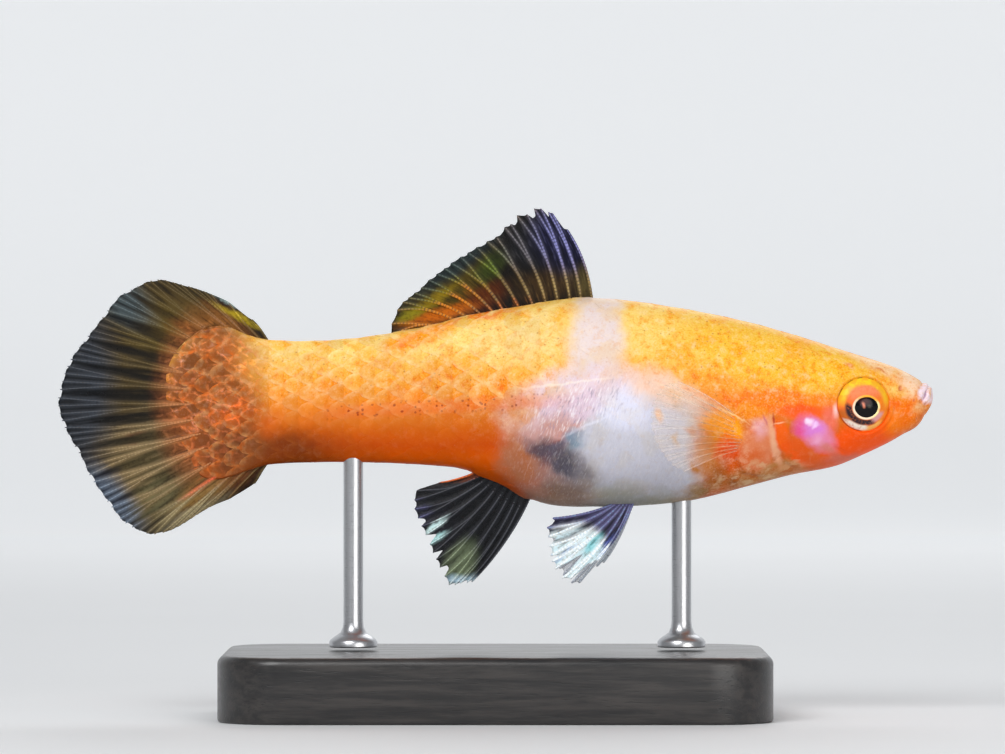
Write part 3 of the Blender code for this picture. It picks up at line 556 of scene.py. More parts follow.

# The markings, as middle, half sizes, turn, softness, strength and colour; a few are painted shade or painted
# highlights, noted where they stand
BODY_PATCHES = (
    # Rear body
    # Darker brown along the lower rear body: partly the fish's own colour, partly painted shade
    ((-20.5, -5.0), (9.0, 3.6), 3, 0.7, 0.9, rgb(116, 50, 8)),
    ((-13.0, -5.0), (5.0, 2.2), 3, 0.8, 0.5, rgb(170, 68, 2)),
    ((2.6, 5.6), (7.2, 3.4), 8, 0.9, 0.65, rgb(245, 212, 136)),
    ((-7.4, 5.2), (4.9, 1.35), 26, 0.7, 0.95, rgb(250, 156, 0)),
    ((-1.6, 7.62), (5.6, 0.4), 13, 0.8, 0.95, rgb(244, 130, 2)),
    # White saddle and silver belly
    ((9.2, 5.2), (3.5, 10.0), -3, 0.6, 0.95, rgb(230, 214, 216)),
    ((8.2, 0.6), (8.0, 3.0), 4, 0.5, 0.95, rgb(232, 210, 220)),
    ((15.4, 0.3), (5.2, 2.6), -24, 0.6, 0.9, rgb(240, 206, 186)),
    ((17.6, -2.4), (3.4, 3.4), 0, 0.8, 0.8, rgb(222, 184, 158)),
    ((2.4, -1.8), (3.4, 2.9), 20, 0.7, 0.85, rgb(220, 168, 146)),
    ((13.0, -5.2), (8.4, 6.2), 0, 0.35, 1.0, rgb(203, 203, 216)),
    ((2.6, -5.6), (3.2, 3.6), -10, 0.7, 0.95, rgb(184, 116, 82)),
    ((6.4, -7.0), (4.0, 3.2), -20, 0.7, 0.8, rgb(150, 140, 142)),
    ((4.6, -8.8), (4.0, 1.8), -16, 0.8, 0.9, rgb(178, 128, 110)),
    ((7.2, -0.8), (5.6, 1.7), 25, 0.45, 0.9, rgb(222, 198, 214)),
    ((12.2, -0.9), (4.2, 2.6), -12, 0.8, 0.85, rgb(226, 228, 248)),
    # The underside of the belly painted a darker grey: partly the belly's colour, partly painted shade
    ((12.6, -10.0), (12.5, 2.8), 0, 0.8, 0.9, rgb(168, 168, 154)),
    ((4.9, -3.0), (3.6, 1.8), 22, 0.7, 0.95, rgb(206, 158, 152)),
    # Dark patches of the brood
    ((4.2, -4.5), (2.2, 1.4), -15, 0.8, 0.95, rgb(92, 74, 84)),
    ((6.6, -3.8), (2.3, 0.9), 32, 0.9, 0.8, rgb(120, 148, 172)),
    ((6.9, -4.6), (1.5, 1.2), 30, 1.0, 0.75, rgb(84, 128, 150)),
    ((5.3, -4.9), (1.6, 1.0), -20, 1.0, 0.6, rgb(84, 92, 118)),
    ((6.5, -6.0), (3.1, 1.4), -32, 0.8, 0.95, rgb(82, 80, 94)),
    ((6.4, -8.2), (3.2, 1.5), -15, 0.8, 0.7, rgb(128, 108, 94)),
    # Spots in front of the belly
    ((14.95, -1.4), (0.5, 1.1), 0, 0.9, 0.8, rgb(244, 184, 120)),
    ((16.5, -3.8), (0.5, 0.9), 10, 0.9, 0.8, rgb(206, 164, 112)),
    ((17.9, -3.1), (1.1, 0.7), 0, 0.9, 0.8, rgb(212, 150, 112)),
    ((17.7, -6.6), (0.5, 1.0), 10, 0.9, 0.9, rgb(192, 120, 30)),
    ((19.0, -8.4), (2.6, 1.0), 20, 0.9, 0.7, rgb(142, 124, 74)),
)
HEAD_PATCHES = (
    # Throat and pectoral base
    ((24.4, -7.0), (6.0, 1.9), 14, 0.7, 0.85, rgb(190, 138, 80)),
    ((20.6, -2.6), (2.8, 2.0), -28, 0.5, 1.0, rgb(252, 162, 2)),
    ((19.2, -5.0), (2.5, 3.4), 0, 0.7, 0.9, rgb(208, 124, 34)),
    ((20.9, -4.5), (1.8, 1.6), 20, 0.8, 1.0, rgb(238, 78, 0)),
    ((20.1, -7.1), (1.7, 1.4), 25, 0.8, 0.9, rgb(172, 92, 18)),
    ((21.7, -7.5), (0.9, 0.8), 20, 0.8, 0.8, rgb(152, 78, 12)),
    ((26.0, -6.4), (2.4, 0.5), 14, 0.9, 0.7, rgb(196, 98, 22)),
    # Head
    ((25.5, 4.2), (13.0, 4.2), -14, 0.6, 0.85, rgb(248, 192, 46)),
    ((35.6, 3.2), (5.4, 1.6), -24, 0.8, 0.85, rgb(250, 208, 168)),
    ((26.0, -0.25), (7.2, 1.35), -3, 0.5, 0.95, rgb(250, 130, 0)),
    ((23.2, -1.3), (3.0, 1.3), -25, 0.7, 0.8, rgb(248, 146, 18)),
    ((23.7, -4.3), (2.1, 3.2), -14, 0.5, 0.9, rgb(226, 134, 92)),
    ((24.2, -2.7), (1.3, 1.5), -30, 0.8, 0.85, rgb(230, 166, 172)),
    ((23.2, -5.3), (1.9, 1.3), 20, 0.8, 0.85, rgb(224, 102, 40)),
    ((25.5, -4.0), (0.75, 3.0), 8, 0.6, 0.95, rgb(238, 176, 142)),
    ((28.6, -4.4), (3.4, 2.4), 0, 0.7, 0.7, rgb(222, 116, 60)),
    ((33.2, -3.8), (5.4, 2.3), 22, 0.5, 1.0, rgb(252, 86, 0)),
    ((33.6, 4.4), (7.0, 1.3), -22, 0.9, 0.6, rgb(251, 214, 146)),
    ((37.2, -1.7), (3.0, 1.8), 48, 0.7, 0.95, rgb(252, 126, 4)),
    ((27.9, -1.2), (3.4, 1.1), -6, 0.7, 0.95, rgb(247, 92, 26)),
    ((30.2, -2.0), (1.1, 2.0), 0, 0.8, 0.85, rgb(240, 112, 92)),
    ((26.15, -3.3), (0.95, 1.9), 12, 0.5, 1.0, rgb(246, 100, 18)),
    ((27.5, -5.0), (2.2, 1.0), -34, 0.5, 1.0, rgb(246, 90, 10)),
    ((28.0, -4.5), (2.8, 1.4), -42, 0.8, 0.95, rgb(232, 92, 24)),
    ((29.1, -3.3), (2.8, 1.5), -42, 0.6, 0.95, rgb(232, 138, 178)),
    # Painted shade: a darker pink low on the cheek
    ((30.2, -4.6), (1.6, 0.8), -34, 0.9, 0.85, rgb(224, 124, 108)),
    ((27.7, -2.6), (1.0, 1.5), 24, 0.9, 0.85, rgb(232, 72, 150)),
    ((28.8, -2.7), (1.5, 1.1), -30, 0.8, 0.95, rgb(222, 130, 222)),
    ((29.3, -3.8), (0.9, 0.8), -30, 0.9, 0.8, rgb(238, 164, 206)),
    # Two painted highlights: white glints on the cheek's pink and lilac spot
    ((28.4, -2.15), (0.6, 0.4), -20, 0.9, 0.95, rgb(255, 226, 252)),
    ((29.0, -2.4), (0.4, 0.3), 0, 0.9, 0.8, rgb(250, 214, 255)),
    # Painted shade: a darker band along the cheek's lower edge
    ((31.6, -5.4), (2.6, 0.7), 12, 0.8, 0.8, rgb(214, 112, 92)),
    ((26.8, -6.3), (2.4, 0.6), 16, 0.9, 0.7, rgb(224, 168, 122)),
    ((30.7, -1.1), (0.5, 1.0), 0, 0.9, 0.9, rgb(255, 206, 200)),
    ((32.0, 2.9), (0.75, 0.4), -10, 0.9, 0.9, rgb(236, 120, 8)),
    ((35.1, 2.5), (1.1, 0.25), -24, 0.9, 0.8, rgb(228, 122, 40)),
    ((36.5, 0.9), (2.0, 0.8), -10, 0.9, 0.75, rgb(248, 206, 112)),
    ((36.9, 1.0), (0.5, 0.5), 0, 0.9, 0.9, rgb(218, 112, 14)),
    ((36.3, -0.5), (0.9, 0.9), 40, 0.9, 0.7, rgb(250, 104, 10)),
    ((37.9, 1.5), (1.4, 1.9), 20, 0.8, 0.8, rgb(251, 216, 186)),
    ((38.6, -0.8), (1.0, 1.0), 0, 0.9, 0.8, rgb(246, 182, 122)),
    ((39.6, 0.66), (1.3, 1.3), 10, 0.35, 1.0, rgb(244, 222, 234)),
    *TAIL_BASE,
)
FINE_LINES = (
    ((6.6, 1.45), (6.6, 0.2), 7, 1.0, 0.45, rgb(255, 250, 240)),
    ((8.8, -2.15), (4.6, 0.25), 25, 1.0, 0.4, rgb(240, 240, 255)),
    ((16.0, 0.85), (2.6, 0.16), -22, 1.0, 0.3, rgb(255, 226, 190)),
    ((21.2, -1.25), (2.8, 0.14), -30, 1.0, 0.85, rgb(255, 216, 150)),
    ((25.2, -1.9), (0.16, 1.1), 6, 1.0, 0.9, rgb(176, 44, 30)),
    ((24.5, -1.9), (0.16, 0.9), 30, 1.0, 0.7, rgb(196, 96, 112)),
    ((25.7, -2.2), (0.9, 0.14), 10, 1.0, 0.8, rgb(250, 196, 150)),
    # Painted shade: the last three are darker dashes along the mouth slit and the lip creases
    ((39.1, 0.3), (0.7, 0.16), 65, 1.0, 0.7, rgb(150, 116, 160)),
    ((39.2, -0.4), (0.5, 0.14), 50, 1.0, 0.7, rgb(206, 118, 60)),
    ((38.1, -0.1), (0.3, 0.14), 50, 1.0, 0.5, rgb(200, 110, 100)),
)


def koi_markings():
    """The markings that the skin and the scales share, with some painted shade and painted highlights among
    them, and a paler colour for the scales' rims.
    """
    group = bpy.data.node_groups.new("KoiMarkings", "ShaderNodeTree")
    group.interface.new_socket("Vector", in_out="INPUT", socket_type="NodeSocketVector")
    outputs = (
        ("Colour", "Color"), ("Rim Colour", "Color"), ("Silver", "Float"), ("Grain", "Float"),
        ("Net", "Float"),
    )
    for name, kind in outputs:
        group.interface.new_socket(name, in_out="OUTPUT", socket_type=f"NodeSocket{kind}")
    tree = Tree(group)
    coords = tree.add("NodeGroupInput").outputs["Vector"]
    warped = tree.warped(tree.warped(coords, 3.0, 0.6), 0.8, 0.3)
    height = tree.add("ShaderNodeSeparateXYZ", {0: warped}).outputs["Z"]
    # The flank's colour by height; its lower side is partly darkened as painted shade
    colour = tree.stops(height, FLANK)
    loose = tree.warped(tree.warped(coords, 3.5, 1.3), 0.9, 0.5)
    colour = tree.painted(loose, colour, BODY_PATCHES)
    colour = tree.painted(warped, colour, HEAD_PATCHES)

    # Blotches, mottles and fine grains, strongest on the back and the head
    belly = tree.patch(warped, (10.5, -4.6), (11.5, 9.0), 0, 0.4)
    saddle = tree.patch(warped, (9.3, 5.6), (4.0, 9.0), -3, 0.5, 0.6)
    stem = tree.patch(coords, (-14.0, -8.5), (27.0, 11.0), 0, 0.4, 0.92)
    face = tree.patch(coords, (30.0, -3.6), (10.5, 4.6), 8, 0.5, 0.85)
    tail_base = tree.patch(coords, (-26.5, -0.3), (7.0, 10.0), 0, 0.4)
    smooth = tree.math("MAXIMUM", tree.math("MAXIMUM", stem, face), saddle)
    smooth = tree.math("MAXIMUM", smooth, tree.math("MULTIPLY", tail_base, 0.7))
    smooth = tree.math("MAXIMUM", tree.math("MULTIPLY", belly, 0.85), smooth)
    calm = tree.math("SUBTRACT", 1.0, smooth)
    blotch = tree.noise(tree.warped(coords, 1.2, 0.5), 2.4, 2.0, 0.5).outputs["Fac"]
    mottle = tree.noise(coords, 0.7, 4.0, 0.65).outputs["Fac"]
    grain = tree.noise(coords, 0.17, 2.0, 0.6).outputs["Fac"]
    for value, low, high, strength, tint, blend in (
        (blotch, 0.48, 0.62, 0.75, rgb(255, 224, 120), "MULTIPLY"),
        (mottle, 0.5, 0.7, 0.34, rgb(255, 230, 190), "MIX"),
        (mottle, 0.48, 0.32, 0.8, rgb(250, 200, 120), "MULTIPLY"),
        (grain, 0.48, 0.75, 0.16, rgb(255, 232, 200), "MIX"),
        (grain, 0.5, 0.25, 0.7, rgb(240, 204, 150), "MULTIPLY"),
    ):
        share = tree.math("MULTIPLY", tree.ramp(value, low, high, 0, strength), calm)
        colour = tree.mix(share, colour, tint, blend)
    streaks = tree.add("ShaderNodeMapping", {
        "Vector": tree.warped(coords, 1.5, 0.15), "Rotation": (0, math.radians(20), 0),
        "Scale": (1.0, 3.0, 5.0),
    }, vector_type="TEXTURE")
    fine = tree.noise(streaks.outputs[0], 0.16, 2.0, 0.6).outputs["Fac"]
    upper = tree.patch(coords, (7.4, -0.7), (6.4, 3.2), 16, 0.7, 0.5)
    scratches = tree.math("ADD", tree.math("MULTIPLY", belly, 0.14), upper)
    dark = tree.math("MULTIPLY", tree.ramp(fine, 0.45, 0.3), scratches)
    colour = tree.mix(dark, colour, rgb(160, 146, 168))
    light = tree.math("MULTIPLY", tree.ramp(fine, 0.52, 0.7), scratches)
    colour = tree.mix(light, colour, rgb(250, 246, 250))
    colour = tree.painted(tree.warped(coords, 1.0, 0.25), colour, FINE_LINES)

    # Orange mottles on the throat
    throat = tree.patch(coords, (24.0, -7.0), (7.0, 2.2), 14, 0.6)
    clouds = tree.noise(tree.warped(coords, 0.8, 0.4), 1.5, 3.0).outputs["Fac"]
    pale = tree.math("MULTIPLY", tree.ramp(clouds, 0.45, 0.3), throat)
    colour = tree.mix(tree.math("MULTIPLY", pale, 0.6), colour, rgb(228, 192, 146))
    spots = tree.math("MULTIPLY", tree.ramp(clouds, 0.53, 0.62), throat)
    colour = tree.mix(tree.math("MULTIPLY", spots, 0.75), colour, rgb(192, 92, 18))

    # The row of dark red dots along the middle of the side
    parts = tree.add("ShaderNodeSeparateXYZ", {0: coords})
    slope = tree.math("MULTIPLY", parts.outputs["X"], -0.055)
    level = tree.math("ADD", tree.math("ADD", parts.outputs["Z"], slope), (0.4 - AXIS_HEIGHT) * MM)
    band = tree.ramp(tree.math("ABSOLUTE", level), 1.0 * MM, 0.2 * MM)
    reach = tree.math("MULTIPLY", tree.ramp(parts.outputs["X"], -18 * MM, -13 * MM),
                      tree.ramp(parts.outputs["X"], 8 * MM, 3 * MM))
    band = tree.math("MULTIPLY", band, reach)
    cells = tree.add("ShaderNodeTexVoronoi", {"Vector": tree.warped(coords, 0.4, 0.1), "Scale": 2500.0})
    lot = tree.add("ShaderNodeSeparateColor", {0: cells.outputs["Color"]}).outputs[0]
    chosen = tree.ramp(lot, 0.45, 0.55)
    dots = tree.math("MULTIPLY", tree.ramp(cells.outputs["Distance"], 0.4, 0.22), chosen)
    colour = tree.mix(tree.math("MULTIPLY", band, 0.3), colour, rgb(240, 96, 56))
    spotted = tree.math("MULTIPLY", tree.math("MULTIPLY", dots, band), 0.8)
    colour = tree.mix(spotted, colour, rgb(150, 34, 16))

    colour = scale_net(tree, coords, colour)

    # Single dark pigment cells over the back and head
    cells = tree.add("ShaderNodeTexVoronoi", {"Vector": tree.warped(coords, 0.4, 0.1), "Scale": 2100.0})
    chosen = tree.ramp(tree.add("ShaderNodeSeparateColor", {0: cells.outputs["Color"]}).outputs[1], 0.62, 0.7)
    freckles = tree.math("MULTIPLY", tree.ramp(cells.outputs["Distance"], 0.24, 0.1), chosen)
    share = tree.math("MULTIPLY", tree.math("MULTIPLY", freckles, calm), 0.5)
    colour = tree.mix(share, colour, rgb(176, 84, 14))

    pale = tree.mix(tree.ramp(height, (AXIS_HEIGHT - 3.0) * MM, (AXIS_HEIGHT + 1.5) * MM),
                    rgb(236, 140, 60), rgb(255, 228, 170))
    rim = tree.mix(0.45, colour, pale)
    tan = tree.mix(tree.ramp(mottle, 0.4, 0.6), rgb(222, 108, 34), rgb(214, 148, 88))
    rim = tree.mix(tail_base, rim, tan)
    strong = tree.ramp(height, (AXIS_HEIGHT - 3.5) * MM, (AXIS_HEIGHT + 0.5) * MM, 0.22, 1.0)
    front = tree.ramp(parts.outputs["X"], 1 * MM, 12 * MM, 1.0, 0.12)
    net = tree.math("MULTIPLY", tree.math("MULTIPLY", strong, front), tree.math("SUBTRACT", 1.0, belly))
    net = tree.math("MAXIMUM", net, tree.math("MULTIPLY", tail_base, 0.85))
    silver = tree.patch(coords, (10.5, -4.0), (12.0, 7.2), 0, 0.5)
    colours = {"Colour": colour, "Rim Colour": rim, "Silver": silver, "Grain": grain, "Net": net}
    tree.add("NodeGroupOutput", colours)
    return group


def markings_in(tree, group):
    return tree.add("ShaderNodeGroup", {"Vector": object_coords(tree)}, node_tree=group)


def wet_finish(shader, coat, roughness):
    shader.inputs["Roughness"].default_value = roughness
    shader.inputs["Specular IOR Level"].default_value = 0.14
    shader.inputs["Coat Weight"].default_value = coat * 0.7
    shader.inputs["Coat Roughness"].default_value = 0.2
    shader.inputs["Coat IOR"].default_value = 1.35
    shader.inputs["IOR"].default_value = 1.36


def skin_material(group):
    material, tree, shader = new_material("koi_skin")
    marks = markings_in(tree, group)
    tree.feed(shader.inputs["Base Color"], marks.outputs["Colour"])
    tree.feed(shader.inputs["Metallic"], tree.math("MULTIPLY", marks.outputs["Silver"], 0.25))
    coords = object_coords(tree)
    lumps = tree.math("ADD", tree.noise(coords, 0.5, 3.0).outputs["Fac"], marks.outputs["Grain"])
    bump = tree.add("ShaderNodeBump", {"Height": lumps, "Strength": 0.35, "Distance": 0.05 * MM})
    tree.feed(shader.inputs["Normal"], bump.outputs[0])
    wet_finish(shader, 0.15, 0.42)
    return material


def scale_material(group):
    material, tree, shader = new_material("koi_scales")
    marks = markings_in(tree, group)
    coords = object_coords(tree)
    net = marks.outputs["Net"]
    rim = tree.ramp(tree.attribute("rim"), 0.35, 1.0, 0, 0.85)
    uneven = tree.ramp(tree.noise(coords, 0.5, 3.0).outputs["Fac"], 0.3, 0.65, 0.35, 1.0)
    root = tree.math("MULTIPLY", tree.ramp(tree.attribute("rim"), 0.55, 0.15, 0, 0.55), net)
    colour = tree.mix(root, marks.outputs["Colour"], rgb(245, 200, 150), "MULTIPLY")
    rim = tree.math("MULTIPLY", tree.math("MULTIPLY", rim, uneven), net)
    colour = tree.mix(rim, colour, marks.outputs["Rim Colour"])
    tone = tree.ramp(tree.attribute("tone"), 0, 1, 0.9, 1.05)
    shade = tree.add("ShaderNodeCombineColor", {0: tone, 1: tone, 2: tone})
    colour = tree.mix(net, colour, tree.mix(1.0, colour, shade.outputs[0], "MULTIPLY"))
    tree.feed(shader.inputs["Base Color"], colour)
    tree.feed(shader.inputs["Metallic"], tree.math("MULTIPLY", marks.outputs["Silver"], 0.25))
    stretched = tree.add("ShaderNodeMapping", {"Vector": coords, "Scale": (1.0, 0.4, 0.25)})
    streaks = tree.noise(stretched.outputs[0], 0.22, 2.0).outputs["Fac"]
    bump = tree.add("ShaderNodeBump", {"Height": streaks, "Strength": 0.25, "Distance": 0.04 * MM})
    tree.feed(shader.inputs["Normal"], bump.outputs[0])
    wet_finish(shader, 0.15, 0.44)
    return material


def markings_group():
    return bpy.data.node_groups.get("KoiMarkings") or koi_markings()


# Skin and scales


def build_skin():
    settings = bpy.context.scene.swordtail_body
    places = skin_places()
    around = settings.skin_points
    skin, u, v = add_grid("skin", around, len(places) - 1)
    rows = np.rint(v * (len(places) - 1)).astype(int)
    points = set_orbits(skin_points(places[rows], u * 2 - 1))
    set_points(skin, in_metres(points))
    clean_mesh(skin, fill=True)
    finish_piece(skin, skin_material(markings_group()), "skin", "head", "lower_jaw", "gill_cover_right",
                 "gill_cover_left", "trunk", "tail_stem")


def scale_pattern():
    """One scale as a thin plate, with u from its root to its free edge, v across it and w through it."""
    scale, u, v = add_grid("scale_pattern", 4, 5)
    set_points(scale, np.stack([u, v * 2 - 1, 0 * u], -1))
    apply_modifier(scale, "SOLIDIFY", "Plate", thickness=1.0, offset=-1)
    flat = np.empty(len(scale.data.vertices) * 3)
    scale.data.vertices.foreach_get("co", flat)
    return scale, flat.reshape(-1, 3)


def scale_columns():
    places, x = [], -29.0
    steps = np.array(SCALE_COLUMN_STEPS)
    while x < 33:
        places.append(x)
        x += float(np.interp(x, steps[:, 0], steps[:, 1]))
    return places


def build_scales():
    settings = bpy.context.scene.swordtail_body
    random.seed(7)
    pattern, shape = scale_pattern()
    u, v, w = shape.T
    rear = 1 - 0.42 * np.abs(v) ** 2.4
    run = u * rear
    front = np.array(SCALE_FRONT)
    scales = []
    for number, x in enumerate(scale_columns()):
        step = float(np.interp(x, *np.array(SCALE_COLUMN_STEPS).T))
        for side in (-1, 1):
            for row in range(SCALE_ROWS + 1):
                share = (row + (number % 2) / 2) / SCALE_ROWS
                if share > 1 or (share in (0, 1) and side < 0):
                    continue
                height = float(body_points(x, float(girth_angle(x, share)))[2])
                if x > np.interp(height, front[:, 0], front[:, 1]) - step * 0.4:
                    continue
                if share == 0 and DORSAL_SPAN[0] < x < DORSAL_SPAN[1]:
                    continue
                if x < SCALES_END_X or random.random() < (SCALES_THIN_FROM_X - x) * 0.1:
                    continue
                copy = pattern.copy()
                copy.data = pattern.data.copy()
                bpy.context.collection.objects.link(copy)
                jitter = random.uniform(-0.05, 0.05)
                along = x + step * (1.05 - 2.0 * run + jitter)
                shares = side * share + v * (0.56 + 0.02 * jitter) / SCALE_ROWS
                folded = np.where(np.abs(shares) > 1, np.sign(shares) * 2 - shares, shares)
                flipped = np.abs(shares) > 1
                calm = float(np.interp(x, (-30, -10, 6, 14, 26, 31), (0.9, 0.85, 0.8, 0.55, 0.45, 0.35)))
                calm *= 1 - 0.5 * float(ease(share, 0.5, 0.7) * ease(x, -24, -20))
                lift = settings.scale_lift / MM * calm * (u * 1.9 - 0.9) - np.abs(v) ** 2 * 0.02
                lift = lift + w * settings.scale_thickness / MM
                points = skin_points(along, np.where(flipped, folded, shares), lift)
                points[:, 1] = np.where(flipped, -np.abs(points[:, 1]) * np.sign(shares), points[:, 1])
                set_points(copy, in_metres(points))
                point_attribute(copy, "rim", u * (0.7 + 0.3 * np.abs(v)) + 0.25 * np.abs(v) ** 4)
                point_attribute(copy, "tone", np.full(len(u), random.random()))
                patch_place(copy, x, side * share, u, v)
                scales.append(copy)
    bpy.data.objects.remove(pattern)
    coat = join_pieces("scales", scales)
    bpy.ops.object.shade_smooth_by_angle(angle=math.radians(50))
    finish_piece(coat, scale_material(markings_group()), "skin")


def patch_place(obj, x, share, u, v):
    """Lays a scale's own small patch of the bake map at its root's place on the unwrapped skin."""
    layer = obj.data.uv_layers.new(name="OFBake")
    corners = np.empty(len(obj.data.loops), int)
    obj.data.loops.foreach_get("vertex_index", corners)
    left = 0.02 + 0.95 * (x - STATIONS[0, 0]) / (SNOUT_X - STATIONS[0, 0])
    low = 0.03 + 0.94 * (share + 1) / 2
    flat = np.stack([left + 0.003 * (0.5 - u[corners]), low + 0.0015 * v[corners]], -1)
    layer.data.foreach_set("uv", flat.ravel())


# Eyes


def iris_material():
    material, tree, shader = new_material("iris")
    flat = tree.add("ShaderNodeUVMap", uv_map="IrisMap").outputs[0]
    parts = tree.add("ShaderNodeSeparateXYZ", {0: flat})
    across = tree.math("MULTIPLY", tree.math("SUBTRACT", parts.outputs[0], 0.5), 5.0)
    up = tree.math("MULTIPLY", tree.math("SUBTRACT", parts.outputs[1], 0.5), 5.0)

    def distance(x, z, flat=1.0):
        wide = tree.math("SUBTRACT", across, x)
        high = tree.math("DIVIDE", tree.math("SUBTRACT", up, z), flat)
        square = tree.math("ADD", tree.math("MULTIPLY", wide, wide), tree.math("MULTIPLY", high, high))
        return tree.math("SQRT", square)

    def both(*masks):
        product = masks[0]
        for mask in masks[1:]:
            product = tree.math("MULTIPLY", product, mask)
        return product

    from_middle = distance(0.0, 0.0)
    from_pupil = distance(*PUPIL_SHIFT, 0.86)
    grain = tree.noise(object_coords(tree), 0.22, 3.0).outputs["Fac"]
    clumps = tree.noise(object_coords(tree), 0.6, 3.0).outputs["Fac"]
    uneven = tree.ramp(grain, 0.3, 0.55, 0.55, 1.0)
    down_left = tree.math("SUBTRACT", tree.math("MULTIPLY", across, -0.55), tree.math("MULTIPLY", up, 0.83))
    downward = tree.math("SUBTRACT", tree.math("MULTIPLY", across, -0.25), tree.math("MULTIPLY", up, 0.97))
    colour = tree.mix(tree.ramp(up, 0.2, 1.2), rgb(246, 112, 34), rgb(246, 138, 88))
    colour = tree.mix(both(tree.ramp(across, 0.6, 1.6), tree.ramp(up, 1.4, 0.2)), colour, rgb(250, 134, 12))
    colour = tree.mix(tree.ramp(grain, 0.45, 0.7, 0, 0.45), colour, rgb(240, 104, 40))
    outer = tree.ramp(from_middle, 1.6, 2.0)
    colour = tree.mix(both(outer, tree.ramp(up, -0.5, 0.5)), colour, rgb(248, 182, 34))
    yellow_top = both(outer, tree.ramp(clumps, 0.48, 0.6, 0, 0.8), tree.ramp(up, 0.2, 0.9))
    colour = tree.mix(yellow_top, colour, rgb(244, 212, 30))
    brown_foot = both(tree.ramp(up, -0.1, -0.8), tree.ramp(across, 0.6, -0.4, 0, 0.85))
    colour = tree.mix(brown_foot, colour, rgb(192, 98, 18))
    rose = both(tree.ramp(across, 0.3, 0.8), tree.ramp(up, -0.5, -0.9), tree.ramp(from_pupil, 1.95, 1.6))
    colour = tree.mix(tree.math("MULTIPLY", rose, 0.85), colour, rgb(222, 168, 172))
    low_rim = both(
        tree.ramp(from_middle, 1.95, 2.1), tree.ramp(down_left, 0.1, 0.7),
        tree.ramp(across, -0.5, 0.1),
    )
    colour = tree.mix(tree.math("MULTIPLY", low_rim, 0.9), colour, rgb(250, 188, 92))
    beyond = both(tree.ramp(from_pupil, 1.3, 1.42), tree.ramp(from_pupil, 2.05, 1.75))
    dark = both(beyond, tree.ramp(down_left, 0.6, 1.05), uneven)
    colour = tree.mix(dark, colour, rgb(38, 22, 34))
    silver = both(
        tree.ramp(from_middle, 1.82, 2.0), tree.ramp(from_middle, 2.42, 2.3),
        tree.ramp(downward, 1.6, 1.9),
    )
    silver = both(silver, tree.ramp(across, 0.5, 0.0))
    colour = tree.mix(both(silver, uneven), colour, rgb(250, 236, 220))
    wide_ring = tree.ramp(from_pupil, 1.36, 1.24)
    ring = both(wide_ring, tree.ramp(clumps, 0.25, 0.5, 0.55, 1.0))
    light = tree.mix(tree.ramp(down_left, -0.6, 0.7), rgb(252, 176, 44), rgb(250, 226, 196))
    light = tree.mix(both(tree.ramp(across, 0.2, 1.0), tree.ramp(up, 0.5, 0.0)), light, rgb(252, 236, 168))
    colour = tree.mix(ring, colour, light)
    edge = both(
        tree.ramp(from_middle, 2.34, 2.42), tree.ramp(up, 0.2, 1.4, 0.1, 0.8),
        tree.ramp(clumps, 0.45, 0.55, 0.15, 1.0),
    )
    colour = tree.mix(edge, colour, rgb(140, 84, 10))
    tree.feed(shader.inputs["Base Color"], colour)
    tree.feed(shader.inputs["Metallic"], tree.math("MULTIPLY", tree.math("MAXIMUM", ring, silver), 0.25))
    bump = tree.add("ShaderNodeBump", {"Height": grain, "Strength": 0.25, "Distance": 0.05 * MM})
    tree.feed(shader.inputs["Normal"], bump.outputs[0])
    shader.inputs["Roughness"].default_value = 0.45
    shader.inputs["Specular IOR Level"].default_value = 0.3
    shader.inputs["Coat Weight"].default_value = 0.12
    shader.inputs["Coat Roughness"].default_value = 0.1
    return material


def pupil_material():
    material, tree, shader = new_material("pupil")
    coords = object_coords(tree)
    x, z = EYE_CENTRE[0] + PUPIL_SHIFT[0], EYE_CENTRE[2] + PUPIL_SHIFT[1]
    warped = tree.warped(coords, 0.4, 0.12)
    cast = tree.patch(warped, (x + 0.05, z + 0.5), (0.8, 0.5), 0, 0.9, 0.5)
    colour = tree.mix(cast, rgb(6, 5, 8), rgb(96, 40, 44))
    olive = tree.patch(warped, (x + 0.5, z + 0.08), (0.3, 0.3), 40, 0.9, 0.4)
    colour = tree.mix(olive, colour, rgb(104, 96, 80))
    # A painted reflection: a salmon glint in the black pupil
    painted_glint = tree.patch(warped, (x - 0.02, z + 0.2), (0.22, 0.42), 15, 0.9, 0.9)
    colour = tree.mix(painted_glint, colour, rgb(236, 140, 110))
    tree.feed(shader.inputs["Base Color"], colour)
    shader.inputs["Roughness"].default_value = 0.12
    shader.inputs["IOR"].default_value = 1.3
    shader.inputs["Coat Weight"].default_value = 0.0
    return material


def add_ball(name, segments, rings):
    """A ball with its poles along the third axis, and its vertices as unit points."""
    deselect()
    bpy.ops.mesh.primitive_uv_sphere_add(segments=segments, ring_count=rings, radius=1)
    ball = bpy.context.object
    ball.name = ball.data.name = name
    flat = np.empty(len(ball.data.vertices) * 3)
    ball.data.vertices.foreach_get("co", flat)
    return ball, flat.reshape(-1, 3)


